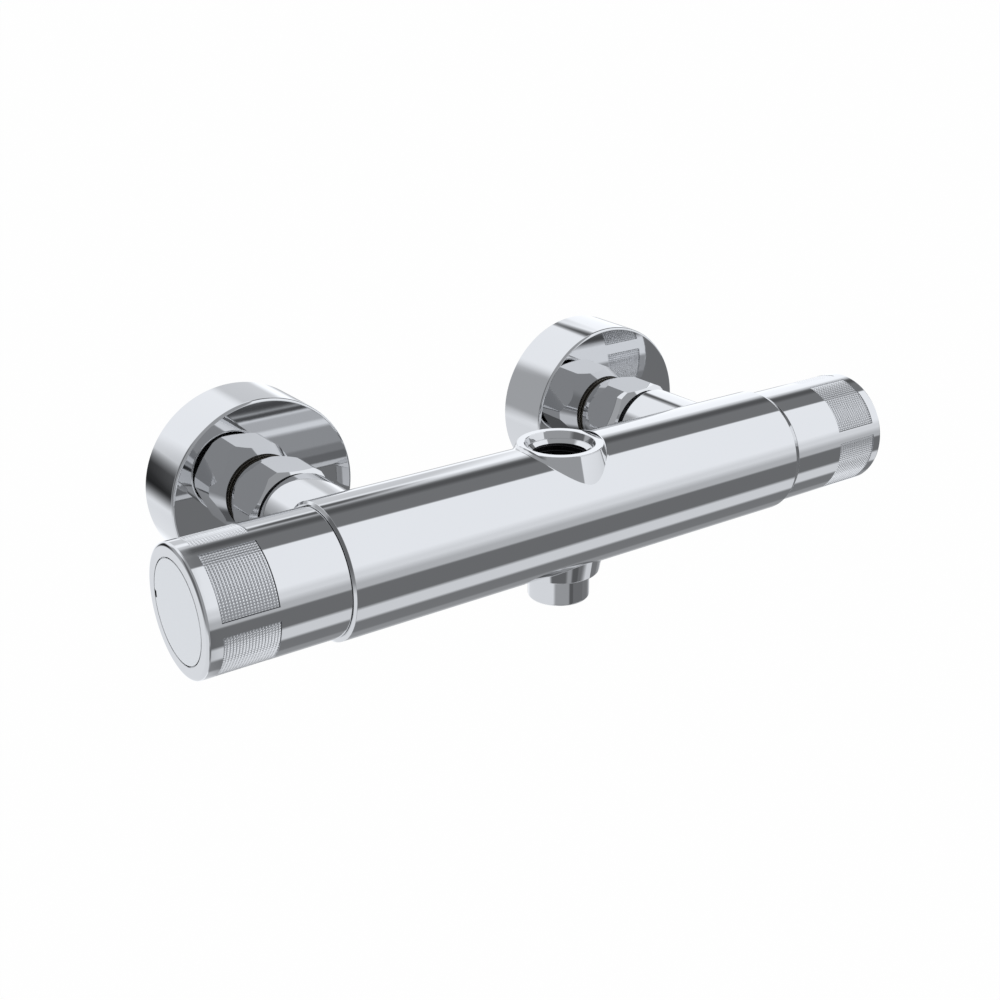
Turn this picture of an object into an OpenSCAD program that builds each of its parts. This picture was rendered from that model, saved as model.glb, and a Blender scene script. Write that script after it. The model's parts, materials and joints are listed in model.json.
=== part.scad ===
// Two-outlet shower bar mixer: a round bar between two wall unions, with a turning handle on each end.
// The origin lies on the wall, midway between the two inlets. +X runs right along the bar, seen from
// the front, +Y into the wall and +Z up.

/* [Bar] */
// Diameter of the bar
bar_d = 43.8; // [42.4:0.2:48]
// Distance from the left inlet's axis to the left end of the bar
left_overhang = 15.6; // [15.6:0.2:20]
// Distance from the right inlet's axis to the right end of the bar
right_overhang = 17; // [16:0.2:20]
// Length of the cone that ends the bar on the right
bar_cone = 2.6; // [1:0.2:4]
// Bevel on the left end of the bar
bar_bevel = 0.25; // [0.1:0.05:0.5]

/* [Inlets] */
// Distance between the two inlets
inlet_centres = 150; // [146:1:156]
// Distance from the wall to the axis of the bar
wall_reach = 89.5; // [86:0.5:98]
// Diameter of the round stub between the bar and each union nut
stub_d = 30.9; // [29:0.1:31.2]
// Gap between the stub and its union nut
stub_gap = 2.4; // [2:0.2:4.4]
// Diameter of the spigot that carries the union nut
spigot_d = 24; // [23.4:0.1:24.4]
// Diameter of the water way from each inlet
inlet_way_d = 12; // [10:0.5:12.4]

/* [Rosettes] */
// Diameter of each wall rosette
rosette_d = 67.4; // [60:0.2:74]
// Distance that each rosette stands out from the wall
rosette_depth = 22.7; // [20:0.1:23.5]
// Wall thickness of each rosette
rosette_wall = 1.5; // [1.2:0.1:2.5]
// Rounding on the front edge of each rosette
rosette_round = 1; // [0.4:0.1:1.1]
// Radial width of the foam gasket behind each rosette
gasket_w = 2; // [1:0.2:4]
// Thickness of the foam gasket
gasket_t = 2; // [1:0.2:4]

/* [Union nuts] */
// Wall of each union nut between its thread and its flats
nut_wall = 1.78; // [1.6:0.02:2.4]
// Height of the turned corners of each nut above its flats
nut_corner_rise = 1.4; // [0.8:0.05:2]
// Length of each union nut
nut_length = 21.2; // [20:0.1:22]
// Clear distance from each rosette to its union nut
nut_clear = 1.75; // [1:0.05:2.5]
// Thickness of the end wall of each nut that turns on the spigot
nut_end_wall = 3; // [2.4:0.1:4]
// Depth of the front rim of each nut below its flats
nut_front_drop = 0.7; // [0.3:0.05:1]
// Depth of the back rim of each nut below its flats
nut_back_drop = 1.2; // [0.3:0.05:1.4]
// Angle of one corner of the left nut above the horizontal
nut_turn_left = -5.1; // [-30:0.1:30]
// Angle of one corner of the right nut above the horizontal
nut_turn_right = 4.3; // [-30:0.1:30]

/* [Threads] */
// Outside diameter of the three-quarter inch pipe thread on each union
pipe34_d = 26.44; // [26.3:0.02:26.6]
// Outside diameter of the half inch pipe thread on the tails and the hose nipple
pipe12_d = 20.955; // [20.8:0.005:21.1]
// Inside diameter of the half inch pipe thread in the top outlet
socket12_d = 18.631; // [18.4:0.001:18.8]
// Height offset between the two ends of each eccentric union
union_offset = 6; // [0:0.5:8]
// Distance that each threaded tail reaches into the wall
tail_length = 16; // [12:0.5:24]

/* [Top outlet] */
// Diameter of the rim of the top outlet
boss_d = 28.8; // [28.4:0.2:32]
// Height of the rim above the top of the bar
boss_rise = 0.2; // [0.1:0.05:1]
// Rounding on the outer edge of the rim
boss_round = 0.3; // [0.2:0.1:1.2]
// Diameter of the counterbore inside the rim
recess_d = 23.4; // [23:0.1:25]
// Depth of the counterbore
recess_depth = 2.4; // [1.5:0.1:3]
// Length of the thread in the top outlet
socket_length = 9; // [8:0.2:9.4]

/* [Bottom outlet] */
// Diameter of the collar below the bar, at its lower end
collar_d = 27.4; // [26:0.2:30]
// Share by which the collar's radius grows for each unit of height towards the bar
collar_flare_share = 0.18; // [0:0.01:0.25]
// Distance that the collar stands below the lowest line of the bar
collar_drop = 1.1; // [0.1:0.05:2]
// Length of the hose nipple below the collar
nipple_length = 9.6; // [8.4:0.1:14]
// Width across the flats of the key socket in the nipple
nipple_key = 11; // [10.4:0.2:12]

/* [Handles] */
// Diameter of both handles
handle_d = 41; // [40:0.1:41.6]
// Length of the left handle
handle_length_left = 45; // [44.2:0.1:50]
// Length of the right handle
handle_length_right = 43.1; // [42.4:0.1:50]
// Gap between each handle and the end of the bar
handle_gap = 0.4; // [0.2:0.05:0.8]
// Wall thickness of the handles
handle_wall = 2.2; // [1.8:0.1:2.8]
// Radial width of the rounded front edge of the handles
edge_width = 1.4; // [0.6:0.1:2]
// Axial depth of the rounded front edge of the handles
edge_depth = 1; // [0.6:0.1:2]
// Number of knurled windows round each handle
windows = 5; // [4:1:5]
// Angle that each window spans
window_deg = 60; // [40:0.5:64]
// Length of each window along the handle
window_length = 17.8; // [14:0.1:18]
// Distance from the left handle's face to its windows
window_inset_left = 4.7; // [3:0.1:6]
// Distance from the right handle's face to its windows
window_inset_right = 4.2; // [3:0.1:6]
// Depth of each window
window_depth = 0.6; // [0.3:0.05:0.9]
// Angle of one left window's middle above the front
window_angle_left = 37; // [0:1:71]
// Angle of one right window's middle above the front
window_angle_right = 51; // [0:1:71]

/* [Covers] */
// Diameter of the flat disc that closes the face of each handle
cover_d = 31.8; // [29:0.1:33]
// Thickness of the disc
cover_t = 2; // [1.4:0.1:2.4]
// Width of the pry notch in the rim of the disc
notch_w = 2.7; // [2:0.1:4]
// Depth of the pry notch
notch_depth = 0.8; // [0.5:0.1:1.2]

/* [Mixing cartridge] */
// Diameter of the cartridge chamber in the left end of the bar
mix_bore_d = 35.5; // [35:0.1:36.2]
// Length of the cold water's space round the cartridge, which sets the depth of that chamber
mix_cold_length = 6.3; // [5.4:0.1:7.4]
// Diameter of the ceramic discs
mix_disc_d = 24.8; // [23.6:0.2:25.2]
// Thickness of each ceramic disc
disc_t = 3; // [2.7:0.1:3.2]

/* [Diverter cartridge] */
// Diameter of the diverter chamber in the right end of the bar
divert_bore_d = 26; // [25.7:0.1:26.4]
// Depth of that chamber
divert_depth = 26; // [25:0.2:27]
// Diameter of the diverter's ceramic discs
divert_disc_d = 22.8; // [22:0.1:23]

/* [Check valves] */
// Diameter of each check valve
valve_d = 17; // [16.4:0.1:17.2]
// Length of each check valve
valve_length = 15; // [14:0.2:16]
// Distance that each valve cone lifts
valve_lift = 2.4; // [1.5:0.1:2.6]

/* [Hidden] */
$fn = 96;

// Clearances, the overrun of every cut and the step of every rounded edge
overrun = 1;
running = 0.05;
snug = 0.1;
seat = 0.2;
round_step = 15;

// Radii of the outer pieces
bar_r = bar_d / 2;
handle_r = handle_d / 2;
stub_r = stub_d / 2;
spigot_r = spigot_d / 2;
pipe34_r = pipe34_d / 2;
pipe12_r = pipe12_d / 2;
inlet_way_r = inlet_way_d / 2;
cover_r = cover_d / 2;

// Places along the bar, as distances from its middle
inlet_x = inlet_centres / 2;
bar_left = inlet_x + left_overhang;
bar_right = inlet_x + right_overhang;
face_left = bar_left + handle_gap + handle_length_left;
face_right = bar_right + handle_gap + handle_length_right;

// Places along each inlet, as distances from the wall
nut_start = rosette_depth + nut_clear;
nut_stop = nut_start + nut_length;
stub_start = nut_stop + stub_gap;
nut_ring_t = 1.2;
nut_ring_groove = 0.8;
nut_ring_start = nut_stop - nut_end_wall - nut_ring_t - snug;
spigot_start = nut_ring_start - nut_ring_t;
washer_t = 2;
union_stop = spigot_start - washer_t;
filter_t = 1;
valve_start = spigot_start + filter_t;
valve_stop = valve_start + valve_length;

// Eccentric union
union_edge = 0.5;
union_flats = 2 * (pipe12_r + union_offset + union_edge);
union_grip_start = 5;
union_grip_t = 6;
union_grip_stop = union_grip_start + union_grip_t;
union_bevel = 1;
tail_way_r = 7.5;

// Union nut
nut_flats = 2 * (pipe34_r + nut_wall);
nut_back_slope_share = 3;
nut_front_slope_share = 0.8;

// Check valve and strainer
valve_r = valve_d / 2;
valve_wall = 1.6;
valve_seat_t = 2;
valve_seat_r = 4.5;
valve_cone_r = 5.2;
valve_cone_t = 2;
valve_stem_r = 1.5;
valve_collar_r = 2.4;
valve_bridge_t = 2;
valve_bridge = valve_length - valve_bridge_t;
valve_slot_w = 3;
valve_slots = 3;
valve_spring_r = 3.4;
valve_wire = 0.6;
filter_r = valve_r + filter_t;
filter_hole_r = 0.7;
filter_ring_shares = [0.32, 0.62];
filter_ring_holes = [6, 12];

// Mixing chamber and cartridge, as distances from the middle of the bar
mix_bore_r = mix_bore_d / 2;
mix_r = mix_bore_r - snug;
mix_disc_r = mix_disc_d / 2;
mix_cavity_r = mix_disc_r + seat;
base_seal_t = 1.5;
base_seal_w = 1.5;
land_t = 3.2;
mix_hot_start = inlet_x - inlet_way_r;
mix_cold_stop = mix_hot_start - land_t;
mix_start = mix_cold_stop - mix_cold_length;
mix_floor = mix_start - base_seal_t;
mix_nut_t = 6;
mix_nut_r = 10;
mix_stop = bar_left - snug - mix_nut_t;
front_wall = 3;
waist_wall = 2;
ring_t = 1.2;
mix_hot_stop = mix_stop - land_t;
feed_r = 1.8;
feed_cover = 0.4;
mix_cold_feed = (mix_start + mix_cold_stop) / 2;
mix_hot_feed = mix_hot_start + feed_r;
mix_base_stop = mix_hot_feed + feed_r + feed_cover;
mix_moving_start = mix_base_stop + disc_t;
mix_flange_start = mix_moving_start + disc_t;
mix_flange_stop = mix_stop - front_wall - seat;
mix_groove = mix_stop - front_wall / 2 - ring_t / 2;
mix_ring_places = [mix_hot_start - land_t / 2 - ring_t / 2, mix_stop - land_t / 2 - ring_t / 2];
mix_port_share = 0.56;
mix_port_r = 2.5;
mix_ports = [0, 90];
mix_pocket_first = -125;
mix_pocket_deg = 100;

// Diverter chamber and cartridge, as distances from the middle of the bar
divert_bore_r = divert_bore_d / 2;
divert_r = divert_bore_r - snug;
divert_disc_r = divert_disc_d / 2;
divert_cavity_r = divert_disc_r + seat;
divert_floor = bar_right - divert_depth;
divert_start = divert_floor + base_seal_t;
divert_nut_t = 5;
divert_nut_r = 8;
divert_stop = bar_right - 2 * seat - divert_nut_t;
divert_base_t = 4;
divert_base_stop = divert_start + divert_base_t;
divert_moving_start = divert_base_stop + disc_t;
divert_flange_start = divert_moving_start + disc_t;
divert_flange_stop = divert_stop - front_wall - seat;
divert_groove = divert_stop - front_wall / 2 - ring_t / 2;
divert_ring_places = [divert_groove];
divert_port_share = 0.62;
divert_port_r = 2.2;
divert_ports = [0, 180];
divert_pocket_first = 55;
divert_pocket_deg = 70;

// Ceramic discs and spindles
disc_way_r = 3.5;
pocket_t = 1.2;
lug_r = 1.2;
lug_t = 1.3;
lug_share = 0.7;
spindle_r = 5.5;
spindle_reach = 27.4;
spline_r = 4.5;
spline_depth = 0.4;
spline_teeth = 20;
spline_length = 12;
spanner_slot_w = 3;
spanner_slot_t = 1.5;
spanner_slots = 4;

// Waterways inside the bar
mixed_way_r = 4.5;
outlet_way_r = 3.2;
outlet_way_z = 9;
cold_way_r = 2.8;
cold_way_wall = 1.9;
cold_way_y = bar_r - cold_way_r - cold_way_wall;

// Top outlet
boss_r = boss_d / 2;
boss_top = bar_r + boss_rise;
boss_foot_share = 0.57;
boss_foot_z = boss_foot_share * bar_r;
boss_foot_r = sqrt(bar_r * bar_r - boss_foot_z * boss_foot_z) - snug;
recess_r = recess_d / 2;
recess_bevel = 0.15;
socket_r = socket12_d / 2;
socket_bevel = 1.2;
socket_top = boss_top - recess_depth - socket_bevel;
socket_floor = socket_top - socket_length;
throat_r = 7.6;
throat_drop = 1.6;

// Bottom outlet
collar_r = collar_d / 2;
collar_stop = bar_r + collar_drop;
collar_bevel = 0.6;
nipple_stop = collar_stop + nipple_length;
nipple_bevel = 0.6;
nipple_stem = 8;
nipple_stem_r = 8;
nipple_way_r = 5;
nipple_key_depth = 7;
nipple_ring_w = 1.4;
nipple_ring_t = 1;

// Handles
web_t = 6;
web_inset = 8;
hub_r = 7.5;
screw_pocket_r = 13;
screw_r = 2;
screw_head_r = 3.8;
screw_head_t = 2.4;
screw_key = 2.5;
screw_key_depth = 1.6;
cover_groove = 0.3;

// Places a part along the bar's axis, with +Z pointing out of the left end and +X up
module on_left() {
    translate([0, -wall_reach, 0]) rotate([0, -90, 0]) children();
}

// Places a part along the bar's axis, with +Z pointing out of the right end and +X up
module on_right() {
    translate([0, -wall_reach, 0]) mirror([1, 0, 0]) rotate([0, -90, 0]) children();
}

// Places a part on an inlet's axis, with +Z pointing from the wall to the bar and +Y up
module on_inlet(side) {
    translate([side * inlet_x, 0, 0]) rotate([90, 0, 0]) children();
}

// Places a part on the outlets' axis, with +Z up
module on_outlets() {
    translate([0, -wall_reach, 0]) children();
}

// Places a part on the outlets' axis, with +Z down
module below_bar() {
    on_outlets() mirror([0, 0, 1]) children();
}

// A round bar between two heights
module rod(r, from, to) {
    translate([0, 0, from]) cylinder(r = r, h = to - from);
}

// A tube between two heights
module tube(outer, inner, from, to) {
    difference() {
        rod(outer, from, to);
        rod(inner, from - overrun, to + overrun);
    }
}

// A round bar with a bevel on the outside of each end
module bevelled_rod(r, from, to, bevel_from, bevel_to) {
    rotate_extrude() polygon([
        [0, from], [r - bevel_from, from], [r, from + bevel_from],
        [r, to - bevel_to], [r - bevel_to, to], [0, to]]);
}

// A hexagonal prism between two heights
module hex_rod(flats, from, to) {
    translate([0, 0, from]) cylinder(r = flats / 2 / cos(30), h = to - from, $fn = 6);
}

// A hole that runs outward from the axis at a height and angle, between two radii
module side_hole(r, height, angle, inner, outer) {
    rotate([0, 0, angle]) translate([0, 0, height]) rotate([0, 90, 0]) rod(r, inner, outer);
}

// Copies a child round the Z axis
module ring_of(count, first = 0) {
    for (i = [0 : count - 1]) rotate([0, 0, first + i * 360 / count]) children();
}

// Points of a rounded edge, from the side of a round face to its front
function edge_arc(r, z, width, depth) = [
    for (a = [90 : -round_step : 0]) [r - width + width * sin(a), z - depth + depth * cos(a)]];

// Outline of the splined end of a spindle
function spline_points(r) = [
    for (i = [0 : 2 * spline_teeth - 1])
        let (reach = i % 2 == 0 ? r : r - spline_depth, a = i * 180 / spline_teeth)
        [reach * cos(a), reach * sin(a)]];

// The bar with its right-hand cone, before anything is bored
module bar_blank() {
    on_left() bevelled_rod(bar_r, 0, bar_left, 0, bar_bevel);
    on_right() rotate_extrude() polygon([
        [0, -overrun], [bar_r, -overrun], [bar_r, bar_right - bar_cone],
        [handle_r + seat, bar_right], [0, bar_right]]);
}

// The flared neck of the top outlet
module boss_blank() {
    on_outlets() rotate_extrude() polygon(concat(
        [[0, 0], [boss_foot_r, 0], [boss_foot_r, boss_foot_z]],
        edge_arc(boss_r, boss_top, boss_round, boss_round),
        [[0, boss_top]]));
}

// Everything that is cut from the top outlet
module boss_bore() {
    on_outlets() {
        rotate_extrude() polygon([
            [0, socket_top], [socket_r, socket_top],
            [socket_r + socket_bevel, socket_top + socket_bevel],
            [recess_r, socket_top + socket_bevel], [recess_r, boss_top - recess_bevel],
            [recess_r + recess_bevel + overrun, boss_top + overrun], [0, boss_top + overrun]]);
        rod(socket_r, socket_floor, socket_top + socket_bevel);
        rod(throat_r, socket_floor - throat_drop, socket_floor + overrun);
    }
}

// The collar below the bar, which widens towards it
module collar_blank() {
    below_bar() rotate_extrude() polygon([
        [0, 0],
        [collar_r + collar_flare_share * collar_stop, 0],
        [collar_r + collar_flare_share * collar_bevel, collar_stop - collar_bevel],
        [collar_r - collar_bevel, collar_stop],
        [0, collar_stop]
    ]);
}

// Everything that is cut from the bottom outlet
module collar_bore() {
    below_bar() {
        rod(nipple_stem_r + snug, collar_stop - nipple_stem - snug, collar_stop + overrun);
        rod(nipple_stem_r + nipple_ring_w, collar_stop - nipple_ring_t, collar_stop + overrun);
        rod(nipple_way_r, outlet_way_z, collar_stop);
    }
}

// The stub and spigot of one inlet, with the groove for the nut's ring
module inlet_blank(side) {
    on_inlet(side) {
        rod(stub_r, stub_start, wall_reach - mix_bore_r / 2);
        difference() {
            rod(spigot_r, spigot_start, stub_start + overrun);
            tube(spigot_r + overrun, spigot_r - nut_ring_groove,
                nut_ring_start, nut_ring_start + nut_ring_t);
        }
    }
}

// The bores of one inlet, down to the depth where its water leaves
module inlet_bore(side, depth) {
    on_inlet(side) {
        rod(filter_r + snug, spigot_start - overrun, valve_start);
        rod(valve_r + snug, spigot_start - overrun, valve_stop);
        rod(inlet_way_r, valve_stop - overrun, depth);
    }
}

// The cast and bored body: bar, outlets, inlets, cartridge chambers and waterways
module body() {
    color("#d3d6da") difference() {
        union() {
            bar_blank();
            boss_blank();
            collar_blank();
            inlet_blank(-1);
            inlet_blank(1);
        }
        boss_bore();
        collar_bore();
        inlet_bore(-1, wall_reach - mix_bore_r / 2);
        inlet_bore(1, wall_reach - cold_way_y + cold_way_r / 2);
        on_left() {
            rod(mix_bore_r, mix_floor, bar_left + overrun);
            rod(mixed_way_r, -divert_floor - overrun, mix_floor + overrun);
            translate([0, cold_way_y, 0]) rod(cold_way_r, -inlet_x, mix_start + cold_way_r);
        }
        on_right() {
            rod(divert_bore_r, divert_floor, bar_right + overrun);
            for (side = [-1, 1])
                translate([side * outlet_way_z, 0, 0]) rod(outlet_way_r, 0, divert_floor + overrun);
        }
    }
}

// Eccentric union: a threaded end for the nut, a hexagon and an offset tail for the wall
module eccentric_union(side) {
    color("#c9a24a") on_inlet(side) difference() {
        union() {
            bevelled_rod(pipe34_r, union_grip_start, union_stop, 0, union_bevel);
            hex_rod(union_flats, union_grip_start, union_grip_stop);
            translate([0, union_offset, 0])
                bevelled_rod(pipe12_r, -tail_length, union_grip_stop, union_bevel, 0);
        }
        rod(valve_r, (union_grip_start + union_grip_stop) / 2, union_stop + overrun);
        translate([0, union_offset, 0]) rod(tail_way_r, -tail_length - overrun, union_grip_stop);
    }
}

module union_left() { eccentric_union(-1); }
module union_right() { eccentric_union(1); }

// Wall rosette: a round cup with a rounded front edge and a hole for the union
module rosette(side) {
    r = rosette_d / 2;
    color("#d3d6da") on_inlet(side) difference() {
        rotate_extrude() polygon(concat(
            [[0, 0], [r, 0]],
            edge_arc(r, rosette_depth, rosette_round, rosette_round),
            [[0, rosette_depth]]));
        rod(r - rosette_wall, -overrun, rosette_depth - rosette_wall);
        rod(pipe34_r + seat, -overrun, rosette_depth + overrun);
    }
}

module rosette_left() { rosette(-1); }
module rosette_right() { rosette(1); }

// Foam gasket inside the wall edge of a rosette
module rosette_gasket(side) {
    outer = rosette_d / 2 - rosette_wall;
    color("#8c8f92") on_inlet(side) tube(outer, outer - gasket_w, 0, gasket_t);
}

module rosette_gasket_left() { rosette_gasket(-1); }
module rosette_gasket_right() { rosette_gasket(1); }

// Union nut: a hexagon with turned corners, threaded at the wall end and loose on the spigot
module union_nut(side, turn) {
    corner_r = nut_flats / 2 + nut_corner_rise;
    front_r = nut_flats / 2 - nut_front_drop;
    back_r = nut_flats / 2 - nut_back_drop;
    color("#c6cacf") on_inlet(side) difference() {
        intersection() {
            rotate([0, 0, turn]) hex_rod(nut_flats, nut_start, nut_stop);
            rotate_extrude() polygon([
                [0, nut_start], [back_r, nut_start],
                [corner_r, nut_start + (corner_r - back_r) * nut_back_slope_share],
                [corner_r, nut_stop - (corner_r - front_r) * nut_front_slope_share],
                [front_r, nut_stop], [0, nut_stop]]);
        }
        rod(pipe34_r + running, nut_start - overrun, nut_stop - nut_end_wall);
        rod(spigot_r + running, nut_start, nut_stop + overrun);
    }
}

module union_nut_left() { union_nut(-1, nut_turn_left); }
module union_nut_right() { union_nut(1, nut_turn_right); }

// Snap ring that holds a union nut on its spigot
module nut_ring(side) {
    color("#9aa0a6") on_inlet(side)
        tube(pipe34_r - snug, spigot_r - nut_ring_groove, nut_ring_start, nut_ring_start + nut_ring_t);
}

module nut_ring_left() { nut_ring(-1); }
module nut_ring_right() { nut_ring(1); }

// Flat fibre washer between a union and the spigot
module inlet_washer(side) {
    color("#2b2b2d") on_inlet(side) tube(spigot_r, valve_r, union_stop, spigot_start);
}

module inlet_washer_left() { inlet_washer(-1); }
module inlet_washer_right() { inlet_washer(1); }

// Round strainer in the mouth of a spigot
module inlet_filter(side) {
    color("#b9bcc0") on_inlet(side) difference() {
        rod(filter_r, spigot_start, valve_start);
        for (k = [0 : len(filter_ring_holes) - 1])
            ring_of(filter_ring_holes[k])
                translate([filter_ring_shares[k] * filter_r, 0, 0])
                    rod(filter_hole_r, spigot_start - overrun, valve_start + overrun);
    }
}

module filter_left() { inlet_filter(-1); }
module filter_right() { inlet_filter(1); }

// Body of a check valve: a cup with a seat at the wall end and a slotted bridge at the other
module check_valve(side) {
    inner = valve_r - valve_wall;
    slot_start = valve_stem_r + valve_wall;
    color("#e6e7e3") on_inlet(side) translate([0, 0, valve_start]) difference() {
        rod(valve_r, 0, valve_length);
        rod(valve_seat_r, -overrun, valve_seat_t + overrun);
        rod(inner, valve_seat_t, valve_bridge);
        rod(valve_stem_r + snug, valve_bridge - overrun, valve_length + overrun);
        ring_of(valve_slots)
            translate([slot_start, -valve_slot_w / 2, valve_bridge - overrun])
                cube([inner - slot_start, valve_slot_w, valve_bridge_t + 2 * overrun]);
    }
}

module check_valve_left() { check_valve(-1); }
module check_valve_right() { check_valve(1); }

// Valve cone, closed against its seat, with a collar that stops it at the bridge and a guide stem
module valve_cone(side) {
    start = valve_seat_t + snug;
    color("#3c3f43") on_inlet(side) translate([0, 0, valve_start]) {
        rod(valve_cone_r, start, start + valve_cone_t);
        rod(valve_collar_r, start, valve_bridge - valve_lift - snug);
        rod(valve_stem_r, start, valve_length - valve_bridge_t / 2);
    }
}

module valve_cone_left() { valve_cone(-1); }
module valve_cone_right() { valve_cone(1); }

// Return spring of a check valve, drawn as the sleeve that its turns fill
module valve_spring(side) {
    start = valve_seat_t + snug + valve_cone_t;
    color("#a7abb0") on_inlet(side) translate([0, 0, valve_start])
        tube(valve_spring_r, valve_spring_r - valve_wire, start, valve_bridge);
}

module valve_spring_left() { valve_spring(-1); }
module valve_spring_right() { valve_spring(1); }

// Hose nipple: a threaded stub below the collar, screwed into the body with a key
module hose_nipple() {
    color("#d3d6da") below_bar() difference() {
        union() {
            bevelled_rod(pipe12_r, collar_stop, nipple_stop, 0, nipple_bevel);
            rod(nipple_stem_r, collar_stop - nipple_stem, collar_stop + overrun);
        }
        rod(nipple_way_r, collar_stop - nipple_stem - overrun, nipple_stop);
        hex_rod(nipple_key, nipple_stop - nipple_key_depth, nipple_stop + overrun);
    }
}

// Sealing ring between the nipple and the collar
module nipple_seal() {
    color("#1e1f21") below_bar()
        tube(nipple_stem_r + nipple_ring_w, nipple_stem_r, collar_stop - nipple_ring_t, collar_stop);
}

// Sleeve of a cartridge, open at the base, with a groove for a ring at each of some places
module cartridge_sleeve(outer, cavity, start, stop, rings) {
    difference() {
        rod(outer, start, stop);
        rod(cavity, start - overrun, stop - front_wall);
        rod(spindle_r + running, start, stop + overrun);
        for (place = rings) tube(outer + overrun, outer - ring_t, place, place + ring_t);
    }
}

// Sealing rings in the grooves of a cartridge
module cartridge_rings(outer, rings) {
    for (place = rings) tube(outer, outer - ring_t, place, place + ring_t);
}

// Housing of the mixing cartridge, with a waist for the cold water and one for the hot
module mix_housing() {
    waist_r = mix_cavity_r + waist_wall;
    color("#e6e7e3") on_left() difference() {
        cartridge_sleeve(mix_r, mix_cavity_r, mix_start, mix_stop, mix_ring_places);
        tube(mix_r + overrun, waist_r, mix_start - overrun, mix_cold_stop);
        tube(mix_r + overrun, waist_r, mix_hot_start, mix_hot_stop);
        side_hole(feed_r, mix_cold_feed, mix_ports[0], mix_disc_r / 2, mix_r);
        side_hole(feed_r, mix_hot_feed, mix_ports[1], mix_disc_r / 2, mix_r);
    }
}

module mix_rings() { color("#1e1f21") on_left() cartridge_rings(mix_r, mix_ring_places); }

// Base of the mixing cartridge: the outlet in the middle and one bent feed for each side port
module mix_base() {
    port = mix_disc_r * mix_port_share;
    feeds = [mix_cold_feed, mix_hot_feed];
    color("#cfd0cc") on_left() difference() {
        rod(mix_disc_r, mix_start, mix_base_stop);
        rod(disc_way_r, mix_start - overrun, mix_base_stop + overrun);
        for (k = [0 : len(feeds) - 1]) {
            side_hole(feed_r, feeds[k], mix_ports[k], port, mix_disc_r + overrun);
            rotate([0, 0, mix_ports[k]]) translate([port, 0, 0])
                rod(mix_port_r, feeds[k] - feed_r, mix_base_stop + overrun);
        }
    }
}

// Ring that seals the base of the mixing cartridge to the floor of its chamber
module mix_base_seal() {
    inner = mixed_way_r + base_seal_w;
    color("#1e1f21") on_left() tube(inner + base_seal_w, inner, mix_floor, mix_start);
}

// Fixed ceramic disc with its middle way and two side ports
module fixed_disc(r, from, share, port_r, ports) {
    difference() {
        rod(r, from, from + disc_t);
        rod(disc_way_r, from - overrun, from + disc_t + overrun);
        for (a = ports)
            rotate([0, 0, a]) translate([r * share, 0, 0])
                rod(port_r, from - overrun, from + disc_t + overrun);
    }
}

// Moving ceramic disc: a pocket below joins the middle way to a port, two holes above take lugs
module moving_disc(r, from, reach, first, span) {
    difference() {
        rod(r, from, from + disc_t);
        rod(disc_way_r, from - overrun, from + pocket_t);
        rotate([0, 0, first]) translate([0, 0, from - overrun]) rotate_extrude(angle = span)
            translate([disc_way_r / 2, 0]) square([reach - disc_way_r / 2, pocket_t + overrun]);
        for (side = [-1, 1])
            translate([0, side * r * lug_share, 0])
                rod(lug_r + snug, from + disc_t - lug_t - snug, from + disc_t + overrun);
    }
}

// Spindle: a flange with two lugs, a round neck and a splined end for the handle
module spindle(r, from, flange_stop, groove, stop) {
    difference() {
        union() {
            rod(r, from, flange_stop);
            for (side = [-1, 1])
                translate([0, side * r * lug_share, 0]) rod(lug_r, from - lug_t, flange_stop);
            rod(spindle_r, from, stop - spline_length);
            translate([0, 0, stop - spline_length - overrun])
                linear_extrude(spline_length + overrun) polygon(spline_points(spline_r));
        }
        rod(screw_r + running, stop - spline_length, stop + overrun);
        tube(spindle_r + overrun, spindle_r - ring_t, groove, groove + ring_t);
    }
}

// Sealing ring in the groove of a spindle's neck
module spindle_ring(groove) {
    tube(spindle_r, spindle_r - ring_t, groove, groove + ring_t);
}

// Ring nut that holds a cartridge in its chamber, with slots for a spanner
module ring_nut(r, hole, from, to) {
    difference() {
        tube(r, hole, from, to);
        ring_of(spanner_slots)
            translate([hole - overrun, -spanner_slot_w / 2, to - spanner_slot_t])
                cube([(r - hole) / 2 + overrun, spanner_slot_w, spanner_slot_t + overrun]);
    }
}

module mix_fixed_disc() {
    color("#f3f2ee") on_left()
        fixed_disc(mix_disc_r, mix_base_stop, mix_port_share, mix_port_r, mix_ports);
}

module mix_moving_disc() {
    color("#f3f2ee") on_left()
        moving_disc(mix_disc_r - snug, mix_moving_start, mix_disc_r * mix_port_share + mix_port_r,
            mix_pocket_first, mix_pocket_deg);
}

module mix_spindle() {
    color("#c9a24a") on_left()
        spindle(mix_disc_r - snug, mix_flange_start, mix_flange_stop, mix_groove, bar_left + spindle_reach);
}

module mix_spindle_seal() { color("#1e1f21") on_left() spindle_ring(mix_groove); }

module mix_nut() {
    color("#c9a24a") on_left() ring_nut(mix_r, mix_nut_r, mix_stop, mix_stop + mix_nut_t);
}

module divert_housing() {
    color("#e6e7e3") on_right()
        cartridge_sleeve(divert_r, divert_cavity_r, divert_start, divert_stop, divert_ring_places);
}

module divert_ring() { color("#1e1f21") on_right() cartridge_rings(divert_r, divert_ring_places); }

// A disc below the diverter: the mixed water in the middle and one way to each outlet
module three_way_disc(from, to) {
    difference() {
        rod(divert_disc_r, from, to);
        rod(disc_way_r, from - overrun, to + overrun);
        for (a = divert_ports)
            rotate([0, 0, a]) translate([divert_disc_r * divert_port_share, 0, 0])
                rod(divert_port_r, from - overrun, to + overrun);
    }
}

module divert_base() { color("#cfd0cc") on_right() three_way_disc(divert_start, divert_base_stop); }
module divert_base_seal() { color("#1e1f21") on_right() three_way_disc(divert_floor, divert_start); }

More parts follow.
